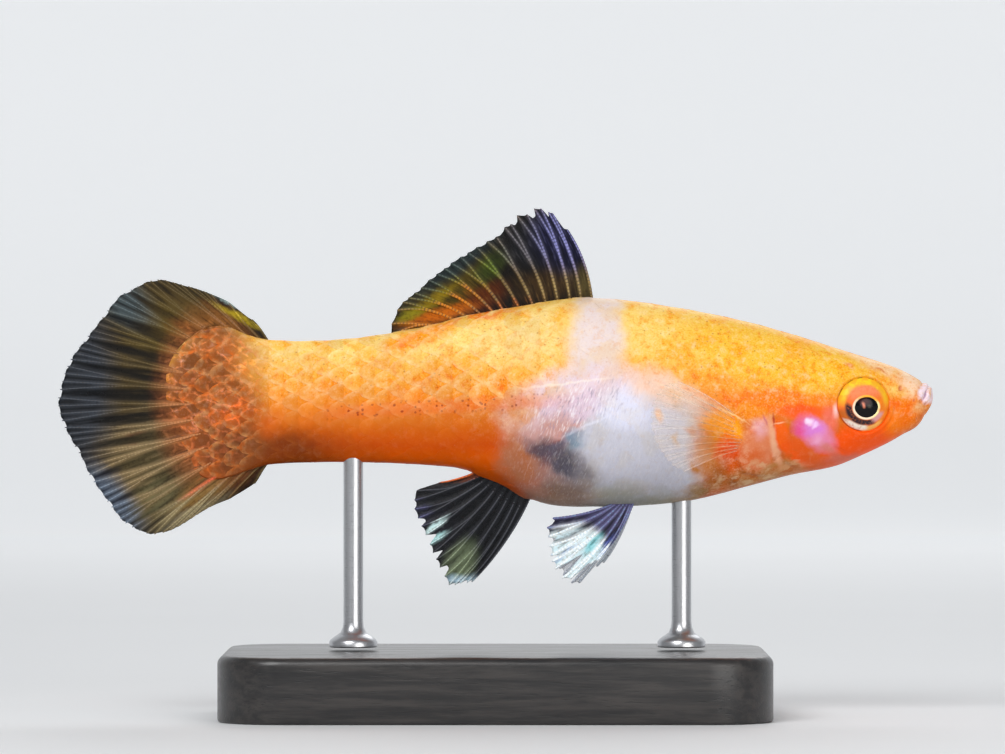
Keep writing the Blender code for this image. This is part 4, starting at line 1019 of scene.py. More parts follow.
def build_eyes():
    iris, black = iris_material(), pupil_material()
    for name, side in SIDES.items():
        middle, axes = eye_axes(side)
        eye, unit = add_ball(f"eyeball_{name}", 96, 48)
        u, v, w = unit[:, 0] * EYE_RADIUS, unit[:, 1] * EYE_RADIUS, unit[:, 2] * EYE_BULGE
        beside = (u - PUPIL_SHIFT[0]) / PUPIL_RADII[0]
        above = (v - PUPIL_SHIFT[1]) / PUPIL_RADII[1]
        from_pupil = np.hypot(beside, above) * 1.05
        front = w > 0
        w = w + np.where(front, 0.05 * bell(from_pupil, 1.2, 0.1) - 0.05 * bell(from_pupil, 1.7, 0.2), 0)
        w = np.where(front & (from_pupil < 1.1), w - 0.12 * (1 - ease(from_pupil, 0.85, 1.05)), w)
        set_points(eye, in_metres(np.stack([u, v, w], -1) @ axes + middle))
        while eye.data.uv_layers:
            eye.data.uv_layers.remove(eye.data.uv_layers[0])
        layer = eye.data.uv_layers.new(name="IrisMap")
        corners = np.empty(len(eye.data.loops), int)
        eye.data.loops.foreach_get("vertex_index", corners)
        layer.data.foreach_set("uv", (np.stack([u, v], -1)[corners] / 5 + 0.5).ravel())
        clean_mesh(eye)
        finish_piece(eye, iris, "eyeball", f"eye_{name}")
        pupil, unit = add_ball(f"pupil_lens_{name}", 64, 24)
        u, v = unit[:, 0] * PUPIL_RADII[0], unit[:, 1] * PUPIL_RADII[1]
        seat = eyeball_height(np.hypot(u + PUPIL_SHIFT[0], v + PUPIL_SHIFT[1]))
        w = np.where(unit[:, 2] > 0, seat + 0.1 * unit[:, 2] - 0.03, seat - 0.03 + 0.45 * unit[:, 2])
        place = np.stack([u + PUPIL_SHIFT[0], v + PUPIL_SHIFT[1], w], -1)
        set_points(pupil, in_metres(place @ axes + middle))
        clean_mesh(pupil)
        finish_piece(pupil, black, "pupil", f"pupil_{name}")


# Fins: each ray's base and its tips, from the front or the top
DORSAL_RAYS = (
    ((8.8, 9.2), (6.6, 15.5)),
    ((7.8, 9.2), (5.2, 17.0), (4.8, 17.1)),
    ((6.8, 9.1), (4.1, 17.4), (3.5, 17.4)),
    ((5.7, 8.9), (2.9, 16.9), (2.0, 16.8)),
    ((4.6, 8.8), (1.4, 16.0), (0.8, 15.7)),
    ((3.4, 8.6), (0.0, 14.8), (-0.8, 14.4)),
    ((2.1, 8.4), (-1.7, 13.9), (-2.5, 13.4)),
    ((0.7, 8.1), (-3.2, 13.0), (-4.1, 12.4)),
    ((-0.2, 7.9), (-4.7, 11.9), (-5.4, 11.4)),
    ((-1.3, 7.7), (-6.1, 10.9), (-6.8, 10.2)),
    ((-2.5, 7.4), (-7.4, 9.7), (-8.0, 9.2)),
    ((-3.6, 7.15), (-8.5, 8.8), (-9.0, 8.1)),
    ((-4.5, 6.55), (-9.5, 6.9), (-9.6, 5.85)),
)
ANAL_RAYS = (
    ((3.1, -9.1), (-2.2, -16.7)),
    ((2.6, -8.8), (-2.6, -16.8)),
    ((2.1, -8.5), (-3.2, -16.9), (-3.7, -17.0)),
    ((1.5, -8.2), (-4.3, -17.0), (-4.7, -16.2)),
    ((1.0, -7.9), (-5.1, -15.4), (-5.4, -14.7)),
    ((0.4, -7.6), (-5.7, -14.1), (-6.0, -13.3)),
    ((-0.1, -7.3), (-6.4, -12.4), (-6.8, -11.6)),
    ((-0.6, -7.1), (-7.1, -10.9), (-7.4, -10.1)),
    ((-1.2, -6.9), (-7.4, -9.3), (-7.2, -8.4)),
    ((-1.8, -6.7), (-5.1, -7.6)),
)
PELVIC_RAYS = (
    ((12.5, -9.6), (9.7, -14.2)),
    ((12.3, -9.6), (9.2, -14.8), (8.6, -15.1)),
    ((12.0, -9.6), (6.8, -16.4), (6.1, -16.3)),
    ((11.7, -9.6), (5.4, -15.4), (5.1, -14.7)),
    ((11.4, -9.6), (5.0, -14.2), (4.9, -13.4)),
    ((11.0, -9.6), (4.8, -12.6), (4.7, -11.8)),
    ((10.7, -9.6), (5.2, -10.9)),
)
PECTORAL_MARGIN = (
    (-4.8, 5.2), (-6.6, 4.6), (-7.7, 3.0), (-8.0, 1.2), (-7.4, -0.6), (-6.0, -2.2), (-4.2, -3.2),
)
PECTORAL_ROOT = (21.2, -3.5)
PECTORAL_SPREAD = math.radians(24)
PELVIC_ROOT = (12.2, -9.6)
PELVIC_SPLAY = math.radians(16)
LEFT_PELVIC_TURN = math.radians(-7)
NEAR_PELVIC_OPACITY = 0.96
FAR_PELVIC_OPACITY = 0.35
# Where along the rays their twigs part, as a share of the length, and over which share they spread
TWIGS_FROM = 0.68
TWIGS_RUN = 0.32
TAIL_MARGIN = (
    (-21.6, 6.9), (-23.4, 8.1), (-24.7, 9.0), (-26.6, 9.7), (-29.0, 10.6), (-31.1, 11.0), (-33.4, 9.9),
    (-34.6, 9.2), (-35.7, 7.8), (-36.6, 6.7), (-37.8, 5.1), (-38.7, 3.8), (-39.3, 2.5), (-39.8, 0.8),
    (-40.0, -0.6), (-39.6, -1.9), (-38.9, -3.6), (-38.0, -5.1), (-37.1, -7.0), (-36.2, -8.3), (-35.2, -9.7),
    (-34.3, -11.0), (-33.0, -11.9), (-31.8, -12.4), (-30.2, -12.1), (-28.4, -11.2), (-27.0, -10.4),
    (-25.6, -9.8), (-24.3, -9.2), (-22.9, -8.3), (-21.6, -7.2),
)


def share_along(points):
    steps = np.linalg.norm(np.diff(np.asarray(points, float), axis=0), axis=1)
    return np.concatenate([[0], np.cumsum(steps)]) / steps.sum()


def fan_rays(root, margin, count, plain, spread=0.22):
    """Rays spaced evenly from a straight root to a margin, split in two except at both ends."""
    shares = share_along(margin)
    rays = []
    for ray in range(count):
        share = (ray + 0.25) / (count - 0.5)
        base = tuple(np.array(root[0]) + (np.array(root[1]) - np.array(root[0])) * share)
        offsets = (0,) if ray < plain or ray >= count - plain else (-spread, spread)
        tips = [smooth_line(shares, margin, (ray + 0.25 + offset) / (count - 0.5)) for offset in offsets]
        rays.append((base, *[tuple(tip) for tip in tips]))
    return tuple(rays)


class FinShape:
    """A fin's flat shape from its rays, and its place in space."""

    def __init__(
        self, rays, bow, wave, place, notches=None, notch=0.05, fork=0.42, spread=0.22, sway=0.05,
        twigs=0.0,
    ):
        self.rays, self.bow, self.wave, self.place, self.sway = rays, bow, wave, place, sway
        self.fork, self.spread, self.twigs = fork, spread, twigs
        self.bases = np.array([ray[0] for ray in rays], float)
        self.tip_places, self.tips = [], []
        for number, ray in enumerate(rays):
            offsets = (0,) if len(ray) == 2 else (-spread, spread)
            self.tip_places += [number + offset for offset in offsets]
            self.tips += list(ray[1:])
        self.reach_places, self.reach = [], []
        for before, after in zip(self.tip_places, self.tip_places[1:]):
            same = after - before < spread * 2 + 0.01 and round(before) == round(after)
            gap = (notches or {}).get(round(before), notch) if not same else notch * 0.5
            lean = 0.28 if gap < 0.08 else 0.45
            nearer = before * (1 - lean) + after * lean
            further = before * lean + after * (1 - lean)
            self.reach_places += [before, nearer, further]
            self.reach += [1, 1 - gap, 1 - gap]
        self.reach_places.append(self.tip_places[-1])
        self.reach.append(1)

    def points(self, across, down, aside=0.0):
        """Points in space from the place across, in rays, and down the ray from 0 to 1."""
        across, down = np.broadcast_arrays(np.asarray(across, float), np.asarray(down, float))
        last = len(self.rays) - 1
        over = across - np.clip(across, 0, last)
        base = smooth_line(range(len(self.rays)), self.bases, across)
        tip = smooth_line(self.tip_places, self.tips, across)
        along = tip - base
        length = np.linalg.norm(along, axis=-1)
        normal = np.stack([along[..., 1], -along[..., 0]], -1) / length[..., None]
        bend = self.bow * length * 4 * down * (1 - down)
        bend = bend + self.sway * np.clip(down, 0, 1) * np.sin(across * 2.1 + down * 4.4)
        edge = over * 0.35 * (1 - 0.5 * down)
        flat = base + along * down[..., None] + normal * (bend - edge)[..., None]
        ripple = self.wave * np.clip(down, 0, 1) ** 1.7 * np.sin(2 * math.pi * 1.15 * across / last + 0.6)
        return self.place(flat, ripple + aside)

    def branch(self, ray, side, down, twig=0):
        """The place across of one branch of a ray, or of a twig that parts from it near the margin."""
        opening = (
            ease(down, self.fork - 0.08, 1.0) * 0.35
            + np.clip((down - self.fork) / (1 - self.fork), 0, 1) * 0.65
        )
        return (
            ray + side * self.spread * opening
            + twig * self.twigs * np.clip((down - TWIGS_FROM) / TWIGS_RUN, 0, 1) ** 0.8
        )

    def nearness(self, across, down, width):
        """How near places are to a ray or branch: 1 on it, falling to 0 over about this width."""
        nearest = np.full(across.shape, 9.0)
        for number, ray in enumerate(self.rays):
            for side in ((0,) if len(ray) == 2 else (-1, 1)):
                for twig in ((-1, 1) if self.twigs and len(ray) > 2 else (0,)):
                    nearest = np.minimum(nearest, np.abs(across - self.branch(number, side, down, twig)))
        step = self.points(across + 0.02, down) - self.points(across - 0.02, down)
        pitch = np.linalg.norm(step, axis=-1) / 0.04
        return bell(nearest * pitch, 0, width)


def build_membrane(name, fin, thickness, root_thickness=0.0, band=0.22):
    """The fin's thin skin between the rays, as a closed sheet."""
    count = len(fin.rays)
    columns, rows = (count - 1) * 14 + 8, 44
    sheet, u, v = add_grid(name, columns, rows)
    across = -0.3 + u * (count - 1 + 0.6)
    reach = np.interp(across, fin.reach_places, fin.reach)
    down = -0.05 + 1.05 * v
    down = np.where(down > 0.6, 0.6 + (down - 0.6) * (reach - 0.6) / 0.4, down)
    near = fin.nearness(across, down, band)
    set_points(sheet, fin.points(across, down, 0.1 * (1 - near) * ease(down, 0, 0.3)) * MM)
    point_attribute(sheet, "down", np.clip(v, 0, 1))
    point_attribute(sheet, "across", across)
    point_attribute(sheet, "band", near)
    group = sheet.vertex_groups.new(name="thickness")
    thickest = thickness + root_thickness
    for index, value in enumerate((thickness + root_thickness * np.clip(1 - v * 3.5, 0, 1)) / thickest):
        group.add([index], float(value), "REPLACE")
    apply_modifier(
        sheet, "SOLIDIFY", "Thickness", thickness=thickest * MM, offset=0, vertex_group="thickness",
        use_rim=True, use_even_offset=False,
    )
    clean_mesh(sheet, merge=1e-8)
    return sheet


def build_ray(name, fin, across, start, end, radii, flat=0.9, sides=6, bead=0.32):
    """One ray or branch as a tapered, jointed bar. across gives its place for each place down."""
    straight = fin.points(across(np.array([start, end])), np.array([start, end]))
    length = float(np.linalg.norm(straight[1] - straight[0]))
    steps = max(int(length / 0.11), 6)
    down = np.linspace(start, end, steps + 1)
    path = fin.points(across(down), down)
    forward = np.gradient(path, axis=0)
    forward /= np.linalg.norm(forward, axis=1, keepdims=True)
    aside = fin.points(across(down), down, 1.0) - path
    aside -= forward * np.sum(aside * forward, axis=1, keepdims=True)
    aside /= np.linalg.norm(aside, axis=1, keepdims=True)
    inplane = np.cross(forward, aside)
    run = np.concatenate([[0], np.cumsum(np.linalg.norm(np.diff(path, axis=0), axis=1))])
    joints = 0.5 - 0.5 * np.cos(2 * math.pi * run / bead)
    radius = np.interp(down, (start, end), radii) * (0.88 + 0.2 * joints)
    radius[-1] *= 0.5
    bar, u, v = add_grid(name, sides, steps)
    row = np.rint(v * steps).astype(int)
    turn = 2 * math.pi * u
    wide = np.cos(turn) * radius[row]
    deep = np.sin(turn) * radius[row] * flat
    set_points(bar, (path[row] + inplane[row] * wide[:, None] + aside[row] * deep[:, None]) * MM)
    point_attribute(bar, "joint", joints[row])
    point_attribute(bar, "down", down[row])
    return bar


def build_rays(name, fin, radius, tip_radius, flat=0.9):
    """A fin's rays as one piece, split in two where the real ones are, with any twigs near the margin."""
    bars = []

    def add(ray, side, twig, start, end, first, last):
        def across(down):
            return fin.branch(ray, side, down, twig)

        bars.append(build_ray(name, fin, across, start, end, (first, last), flat))

    for number, ray in enumerate(fin.rays):
        if len(ray) == 2:
            add(number, 0, 0, -0.04, 1.0, radius, tip_radius)
            continue
        fork = fin.fork + 0.03
        middle = radius + (tip_radius - radius) * fork * 0.6
        thin = middle * 0.78
        add(number, 0, 0, -0.04, fork, radius, middle)
        for side in (-1, 1):
            if not fin.twigs:
                add(number, side, 0, fork - 0.06, 1.0, thin, tip_radius)
                continue
            add(number, side, 0, fork - 0.06, 0.7, thin, thin * 0.9)
            for twig in (-1, 1):
                add(number, side, twig, 0.67, 1.0, thin * 0.8, tip_radius)
    rays = join_pieces(name, bars)
    clean_mesh(rays, merge=1e-7, fill=True)
    return rays


def scale_net(tree, coords, colour):
    """The uneven net of scale edges over the tail's base, painted alike on the skin and on the fin."""
    place = tree.warped(coords, 0.8, 0.3)
    stretched = tree.add("ShaderNodeMapping", {"Vector": place, "Scale": (0.72, 0.1, 1.2)})
    cells = tree.add("ShaderNodeTexVoronoi", {"Vector": stretched.outputs[0], "Scale": 800.0},
                     feature="DISTANCE_TO_EDGE")
    shades = tree.add("ShaderNodeTexVoronoi", {"Vector": stretched.outputs[0], "Scale": 800.0})
    shade = tree.add("ShaderNodeSeparateColor", {0: shades.outputs["Color"]}).outputs[0]
    mask = tree.patch(tree.warped(coords, 1.2, 0.6), (-26.8, 0.2), (6.2, 9.6), 0, 0.5)
    middle = tree.mix(shade, (0.55, 0.5, 0.5, 1.0), (1.0, 0.92, 1.1, 1.0))
    colour = tree.mix(mask, colour, middle, "MULTIPLY")
    lines = tree.math("MULTIPLY", tree.ramp(cells.outputs["Distance"], 0.13, 0.03), mask)
    grain = tree.noise(coords, 0.5, 3.0).outputs["Fac"]
    lines = tree.math("MULTIPLY", lines, tree.ramp(grain, 0.35, 0.6, 0.1, 0.8))
    return tree.mix(lines, colour, (2.3, 2.3, 2.8, 1.0), "MULTIPLY")


def fin_material(name, film, bone, alpha, clear_tip=0.0, glow=0.5, clear_root=0.0, net=False):
    """A thin tinted membrane, ray-coloured near the rays. Film and bone are a colour and its patches."""
    material, tree, shader = new_material(name)
    coords = object_coords(tree)
    warped = tree.warped(tree.warped(coords, 2.4, 0.5), 0.5, 0.2)
    tint = tree.painted(warped, *film)
    if net:
        tint = scale_net(tree, coords, tint)
    light = tree.painted(warped, *bone)
    grain = tree.noise(coords, 0.28, 3.0, 0.65).outputs["Fac"]
    band = tree.math("MULTIPLY", tree.attribute("band"), tree.ramp(grain, 0.25, 0.7, glow * 0.55, glow * 1.3))
    down = tree.attribute("down")
    fibres = tree.add("ShaderNodeCombineXYZ", {
        0: tree.math("MULTIPLY", tree.attribute("across"), 6.0), 1: tree.math("MULTIPLY", down, 5.0),
    })
    streaks = tree.add("ShaderNodeTexNoise", {"Vector": fibres.outputs[0], "Scale": 1.0, "Detail": 3.0})
    fibre = streaks.outputs["Fac"]
    tint = tree.mix(band, tint, light)
    tint = tree.mix(tree.ramp(fibre, 0.5, 0.75, 0, glow * 0.5), tint, light)
    tint = tree.mix(tree.ramp(fibre, 0.5, 0.3, 0, 0.7), tint, rgb(150, 146, 140), "MULTIPLY")
    tint = tree.mix(tree.ramp(grain, 0.45, 0.7, 0, 0.6), tint, rgb(170, 160, 150), "MULTIPLY")
    tree.feed(shader.inputs["Base Color"], tint)
    at_tip = tree.ramp(down, 0.6, 1.0, 0, clear_tip)
    at_root = tree.ramp(down, 0.6, 0.0, 0, clear_root)
    clear = tree.math("ADD", at_tip, at_root)
    uneven = tree.ramp(grain, 0.3, 0.7, -0.03, 0.03)
    opaque = tree.math("ADD", tree.math("SUBTRACT", alpha, clear), tree.math("MULTIPLY", band, alpha * 0.4))
    tree.feed(shader.inputs["Alpha"], tree.math("ADD", opaque, uneven, clamp=True))
    bump = tree.add("ShaderNodeBump", {"Height": grain, "Strength": 0.35, "Distance": 0.04 * MM})
    tree.feed(shader.inputs["Normal"], bump.outputs[0])
    shader.inputs["Roughness"].default_value = 0.5
    shader.inputs["Specular IOR Level"].default_value = 0.12
    shader.inputs["Coat Weight"].default_value = 0.03
    return material


def ray_material(name, bone, dark, alpha=1.0, beads=0.35):
    """Jointed rays, each joint a little darker. Bone is a colour and its patches."""
    material, tree, shader = new_material(name)
    coords = object_coords(tree)
    tint = tree.painted(tree.warped(coords, 1.5, 0.4), *bone)
    grain = tree.noise(coords, 0.3, 3.0).outputs["Fac"]
    dips = tree.ramp(tree.attribute("joint"), 0.6, 0.1)
    joint = tree.math("MULTIPLY", dips, tree.ramp(grain, 0.3, 0.6, 0.4, 1.0))
    tint = tree.mix(tree.math("MULTIPLY", joint, beads), tint, dark)
    tint = tree.mix(tree.ramp(grain, 0.5, 0.7, 0, 0.35), tint, dark)
    tree.feed(shader.inputs["Base Color"], tint)
    if alpha < 1:
        tree.feed(shader.inputs["Alpha"], tree.ramp(grain, 0.2, 0.8, alpha - 0.1, alpha + 0.1))
    shader.inputs["Roughness"].default_value = 0.45
    shader.inputs["Specular IOR Level"].default_value = 0.3
    shader.inputs["Coat Weight"].default_value = 0.1
    return material


def in_middle_plane(flat, aside):
    return np.stack([flat[..., 0], aside, flat[..., 1] + AXIS_HEIGHT], -1)


DORSAL_FILM = (rgb(14, 10, 6), (
    ((4.8, 10.4), (5.0, 2.2), 6, 0.8, 0.9, rgb(56, 38, 14)),
    ((-4.6, 9.4), (6.6, 3.2), 34, 0.7, 0.9, rgb(74, 60, 8)),
    ((-1.0, 9.4), (3.0, 1.8), 30, 0.8, 0.9, rgb(84, 34, 2)),
    ((-5.0, 7.7), (5.0, 0.95), 15, 0.8, 0.95, rgb(190, 96, 4)),
    ((-5.6, 9.1), (3.2, 0.8), 34, 0.8, 0.85, rgb(140, 116, 12)),
    ((-7.8, 7.7), (1.9, 0.8), 22, 0.8, 0.8, rgb(140, 130, 16)),
    ((-3.9, 12.0), (8.4, 1.4), 38, 0.8, 0.95, rgb(26, 38, 40)),
    ((-0.6, 12.0), (2.6, 1.5), 48, 0.9, 0.8, rgb(46, 60, 14)),
    ((2.8, 14.0), (2.6, 3.4), 20, 0.8, 0.9, rgb(16, 18, 24)),
    ((6.2, 15.0), (4.2, 4.8), 20, 0.6, 0.95, rgb(8, 9, 40)),
    ((8.2, 10.6), (1.4, 2.4), 12, 0.9, 0.7, rgb(84, 72, 34)),
))
DORSAL_BONE = (rgb(132, 108, 62), (
    ((-5.0, 8.4), (6.6, 2.2), 24, 0.7, 0.95, rgb(222, 134, 20)),
    ((-5.4, 9.8), (6.0, 1.6), 36, 0.8, 0.9, rgb(136, 134, 30)),
    ((-4.0, 12.0), (8.4, 1.5), 38, 0.8, 0.9, rgb(72, 92, 92)),
    ((-0.4, 12.0), (3.4, 1.9), 48, 0.9, 0.85, rgb(108, 134, 38)),
    ((3.0, 14.6), (4.4, 4.0), 30, 0.7, 0.8, rgb(112, 114, 128)),
    ((6.2, 14.8), (3.8, 4.8), 20, 0.7, 0.9, rgb(140, 142, 206)),
    ((5.6, 10.4), (5.0, 1.8), 6, 0.8, 0.7, rgb(176, 150, 92)),
    ((1.0, 8.6), (4.5, 0.8), 12, 0.9, 0.7, rgb(206, 110, 36)),
))
TAIL_FILM = (rgb(24, 20, 14), (
    ((-28.5, 6.4), (7.0, 4.6), -28, 0.8, 0.9, rgb(64, 50, 16)),
    ((-31.0, -6.0), (7.6, 5.4), 34, 0.7, 0.9, rgb(70, 60, 34)),
    ((-38.6, 1.5), (5.0, 11.5), 0, 0.6, 0.95, rgb(5, 8, 13)),
    ((-35.0, 8.4), (5.0, 3.0), -45, 0.7, 0.9, rgb(14, 18, 22)),
    ((-35.6, -8.6), (3.0, 5.4), 40, 0.8, 0.9, rgb(16, 22, 40)),
    *TAIL_BASE,
    ((-25.6, 7.0), (4.6, 2.0), -24, 0.8, 0.9, rgb(132, 84, 32)),
    ((-28.6, 8.8), (3.0, 1.4), -20, 0.9, 0.7, rgb(84, 66, 28)),
    ((-23.4, 7.55), (3.8, 0.45), -27, 1.0, 0.95, rgb(170, 146, 22)),
    ((-23.6, 8.75), (5.4, 0.55), -27, 0.7, 0.95, rgb(142, 162, 160)),
    ((-27.2, -8.8), (4.6, 1.9), 34, 0.8, 0.85, rgb(138, 104, 52)),
    ((-31.0, -9.0), (3.4, 2.2), 36, 0.9, 0.85, rgb(104, 98, 66)),
    ((-27.6, -10.6), (5.4, 1.1), 30, 0.8, 0.9, rgb(126, 118, 94)),
))
TAIL_BONE = (rgb(92, 76, 42), (
    ((-30.6, 6.2), (6.4, 4.0), -26, 0.7, 0.8, rgb(104, 86, 34)),
    ((-32.0, -5.6), (7.4, 5.6), 34, 0.6, 0.95, rgb(158, 134, 94)),
    ((-38.6, 1.5), (5.0, 12.0), 0, 0.6, 0.9, rgb(66, 74, 86)),
    ((-34.5, 9.4), (5.6, 2.8), -42, 0.7, 0.9, rgb(86, 102, 108)),
    ((-35.4, -9.4), (2.8, 6.0), 42, 0.7, 0.95, rgb(120, 136, 156)),
    ((-26.0, -0.2), (6.2, 10.0), 0, 0.5, 0.95, rgb(196, 124, 70)),
    ((-26.9, -7.8), (3.2, 0.5), 36, 0.7, 1.0, rgb(238, 76, 16)),
    ((-33.0, -3.5), (1.6, 0.7), 10, 0.9, 0.7, rgb(150, 70, 50)),
    ((-28.2, -10.0), (5.4, 1.8), 32, 0.8, 0.85, rgb(176, 160, 118)),
    ((-23.4, 7.55), (3.8, 0.45), -27, 1.0, 1.0, rgb(210, 182, 50)),
    ((-23.6, 8.75), (5.4, 0.6), -27, 0.7, 0.95, rgb(190, 206, 206)),
))
ANAL_FILM = (rgb(5, 7, 12), (
    ((-3.2, -15.0), (1.9, 3.2), -28, 0.7, 0.9, rgb(92, 104, 78)),
    ((-3.3, -16.5), (2.4, 0.8), 0, 0.8, 0.9, rgb(168, 200, 220)),
    ((-6.0, -11.6), (3.4, 3.4), -40, 0.9, 0.7, rgb(8, 9, 26)),
    ((-5.6, -11.65), (1.5, 0.3), 40, 0.8, 0.95, rgb(206, 240, 240)),
    ((-5.3, -12.6), (1.3, 0.3), 42, 0.8, 0.95, rgb(170, 220, 220)),
))
ANAL_BONE = (rgb(66, 68, 74), (
    ((-5.5, -11.6), (2.0, 0.5), 40, 0.6, 1.0, rgb(230, 254, 254)),
    ((-5.1, -12.6), (1.7, 0.5), 42, 0.6, 1.0, rgb(206, 244, 244)),
    ((-3.4, -15.2), (2.0, 3.2), -28, 0.7, 0.95, rgb(160, 176, 140)),
    ((-3.3, -16.6), (2.6, 0.7), 0, 0.8, 0.9, rgb(226, 244, 250)),
    ((-7.0, -10.4), (1.6, 1.8), 0, 0.8, 0.7, rgb(112, 112, 160)),
    ((-3.3, -7.25), (2.9, 0.55), 13, 0.6, 1.0, rgb(240, 116, 44)),
))
PELVIC_FILM = (rgb(16, 14, 36), (
    ((7.1, -14.8), (3.6, 3.5), 40, 0.3, 1.0, rgb(206, 232, 240)),
    ((8.8, -13.2), (0.8, 1.8), -38, 0.8, 0.9, rgb(120, 206, 214)),
    ((6.2, -14.1), (2.4, 0.35), 38, 0.8, 0.85, rgb(80, 130, 190)),
    ((10.0, -13.4), (0.4, 1.8), -35, 0.9, 0.7, rgb(90, 110, 200)),
    ((6.4, -12.7), (2.4, 0.4), 30, 0.8, 0.9, rgb(18, 26, 62)),
))
PELVIC_BONE = (rgb(104, 100, 146), (
    ((7.2, -14.7), (4.0, 3.9), 40, 0.25, 1.0, rgb(248, 254, 255)),
))
FAR_PELVIC_FILM = (rgb(196, 202, 212), ())
FAR_PELVIC_BONE = (rgb(206, 210, 220), (
    ((8.5, -15.6), (4.0, 2.4), 30, 0.6, 0.6, rgb(206, 216, 226)),
))
PECTORAL_FILM = (rgb(250, 232, 220), (
    ((20.2, -3.4), (3.2, 4.2), 0, 0.8, 1.0, rgb(246, 140, 30)),
))
PECTORAL_BONE = (rgb(252, 236, 222), (
    ((20.2, -3.4), (3.4, 4.4), 0, 0.8, 0.85, rgb(250, 176, 84)),
    ((18.4, 0.4), (5.0, 0.9), -34, 0.8, 0.9, rgb(255, 240, 222)),
))


def build_dorsal_fin():
    settings = bpy.context.scene.swordtail_fins
    fin = FinShape(DORSAL_RAYS, 0.055, 0.25, in_middle_plane, {0: 0.1, 1: 0.08, 2: 0.07, 3: 0.05}, 0.025)
    sheet = build_membrane("dorsal_membrane", fin, settings.membrane_thickness / MM, 0.12, 0.13)
    film = fin_material("dorsal_film", DORSAL_FILM, DORSAL_BONE, settings.film_opacity, 0.04, 0.4)
    finish_piece(sheet, film, "coloured_fin", "dorsal_fin")
    radius = settings.ray_radius / MM
    rays = build_rays("dorsal_rays", fin, radius * 0.9, radius * 0.45, 0.8)
    finish_piece(rays, ray_material("dorsal_bone", DORSAL_BONE, rgb(34, 30, 48), beads=0.75), "coloured_fin")


def build_tail_fin():
    settings = bpy.context.scene.swordtail_fins
    rays = fan_rays(((-20.4, 4.8), (-20.4, -5.4)), TAIL_MARGIN, 19, 2, 0.25)
    fin = FinShape(
        rays, 0.0, 0.5, in_middle_plane, notch=0.012, fork=0.4, spread=0.25, sway=0.12, twigs=0.125,
    )
    sheet = build_membrane("tail_membrane", fin, settings.membrane_thickness / MM, 0.1, 0.22)
    film = fin_material("tail_film", TAIL_FILM, TAIL_BONE, settings.film_opacity, 0.02, 0.7, net=True)
    finish_piece(sheet, film, "coloured_fin", "tail_fin")
    bars = build_rays("tail_rays", fin, settings.ray_radius / MM * 0.75, settings.ray_radius / MM * 0.42, 0.8)
    finish_piece(bars, ray_material("tail_bone", TAIL_BONE, rgb(60, 46, 28)), "coloured_fin")


def build_anal_fin():
    settings = bpy.context.scene.swordtail_fins
    fin = FinShape(ANAL_RAYS, -0.05, 0.25, in_middle_plane, {3: 0.07, 4: 0.1, 5: 0.11, 6: 0.07}, 0.03)
    sheet = build_membrane("anal_membrane", fin, settings.membrane_thickness / MM, 0.12)
    film = fin_material("anal_film", ANAL_FILM, ANAL_BONE, settings.clear_opacity, 0.06, 0.3)
    finish_piece(sheet, film, "clear_fin", "anal_fin")
    bars = build_rays("anal_rays", fin, settings.ray_radius / MM * 0.65, settings.ray_radius / MM * 0.45)
    finish_piece(bars, ray_material("anal_bone", ANAL_BONE, rgb(52, 50, 70)), "clear_fin")


def pelvic_place(side):
    """Sets a pelvic fin on the belly, splayed outwards, the left one a little further forward."""
    splay, turn = PELVIC_SPLAY, LEFT_PELVIC_TURN if side > 0 else 0.0
    root = body_points(PELVIC_ROOT[0], side * math.radians(166))

    def place(flat, aside):
        x, z = flat[..., 0] - PELVIC_ROOT[0], (flat[..., 1] - PELVIC_ROOT[1]) / math.cos(splay)
        x, z = x * math.cos(turn) + z * math.sin(turn), z * math.cos(turn) - x * math.sin(turn)
        y = root[1] - side * z * math.sin(splay) + side * aside * math.cos(splay)
        z = root[2] + z * math.cos(splay) + aside * math.sin(splay) + AXIS_HEIGHT
        return np.stack([root[0] + x, y, z], -1)

    return place


def pectoral_place(side):
    """Sets a pectoral fin behind the gill cover, spread from the flank."""
    spread = PECTORAL_SPREAD
    root_x, root_z = PECTORAL_ROOT
    angles = np.linspace(0, math.pi, 400)
    flank = body_points(root_x, angles)
    root_y = float(np.interp(-root_z, -flank[:, 2], flank[:, 1])) + 0.35

    def place(flat, aside):
        x = flat[..., 0] * math.cos(spread) - aside * math.sin(spread)
        y = root_y - flat[..., 0] * math.sin(spread) + aside * math.cos(spread)
        return np.stack([root_x + x, side * y, flat[..., 1] + root_z + AXIS_HEIGHT], -1)

    return place


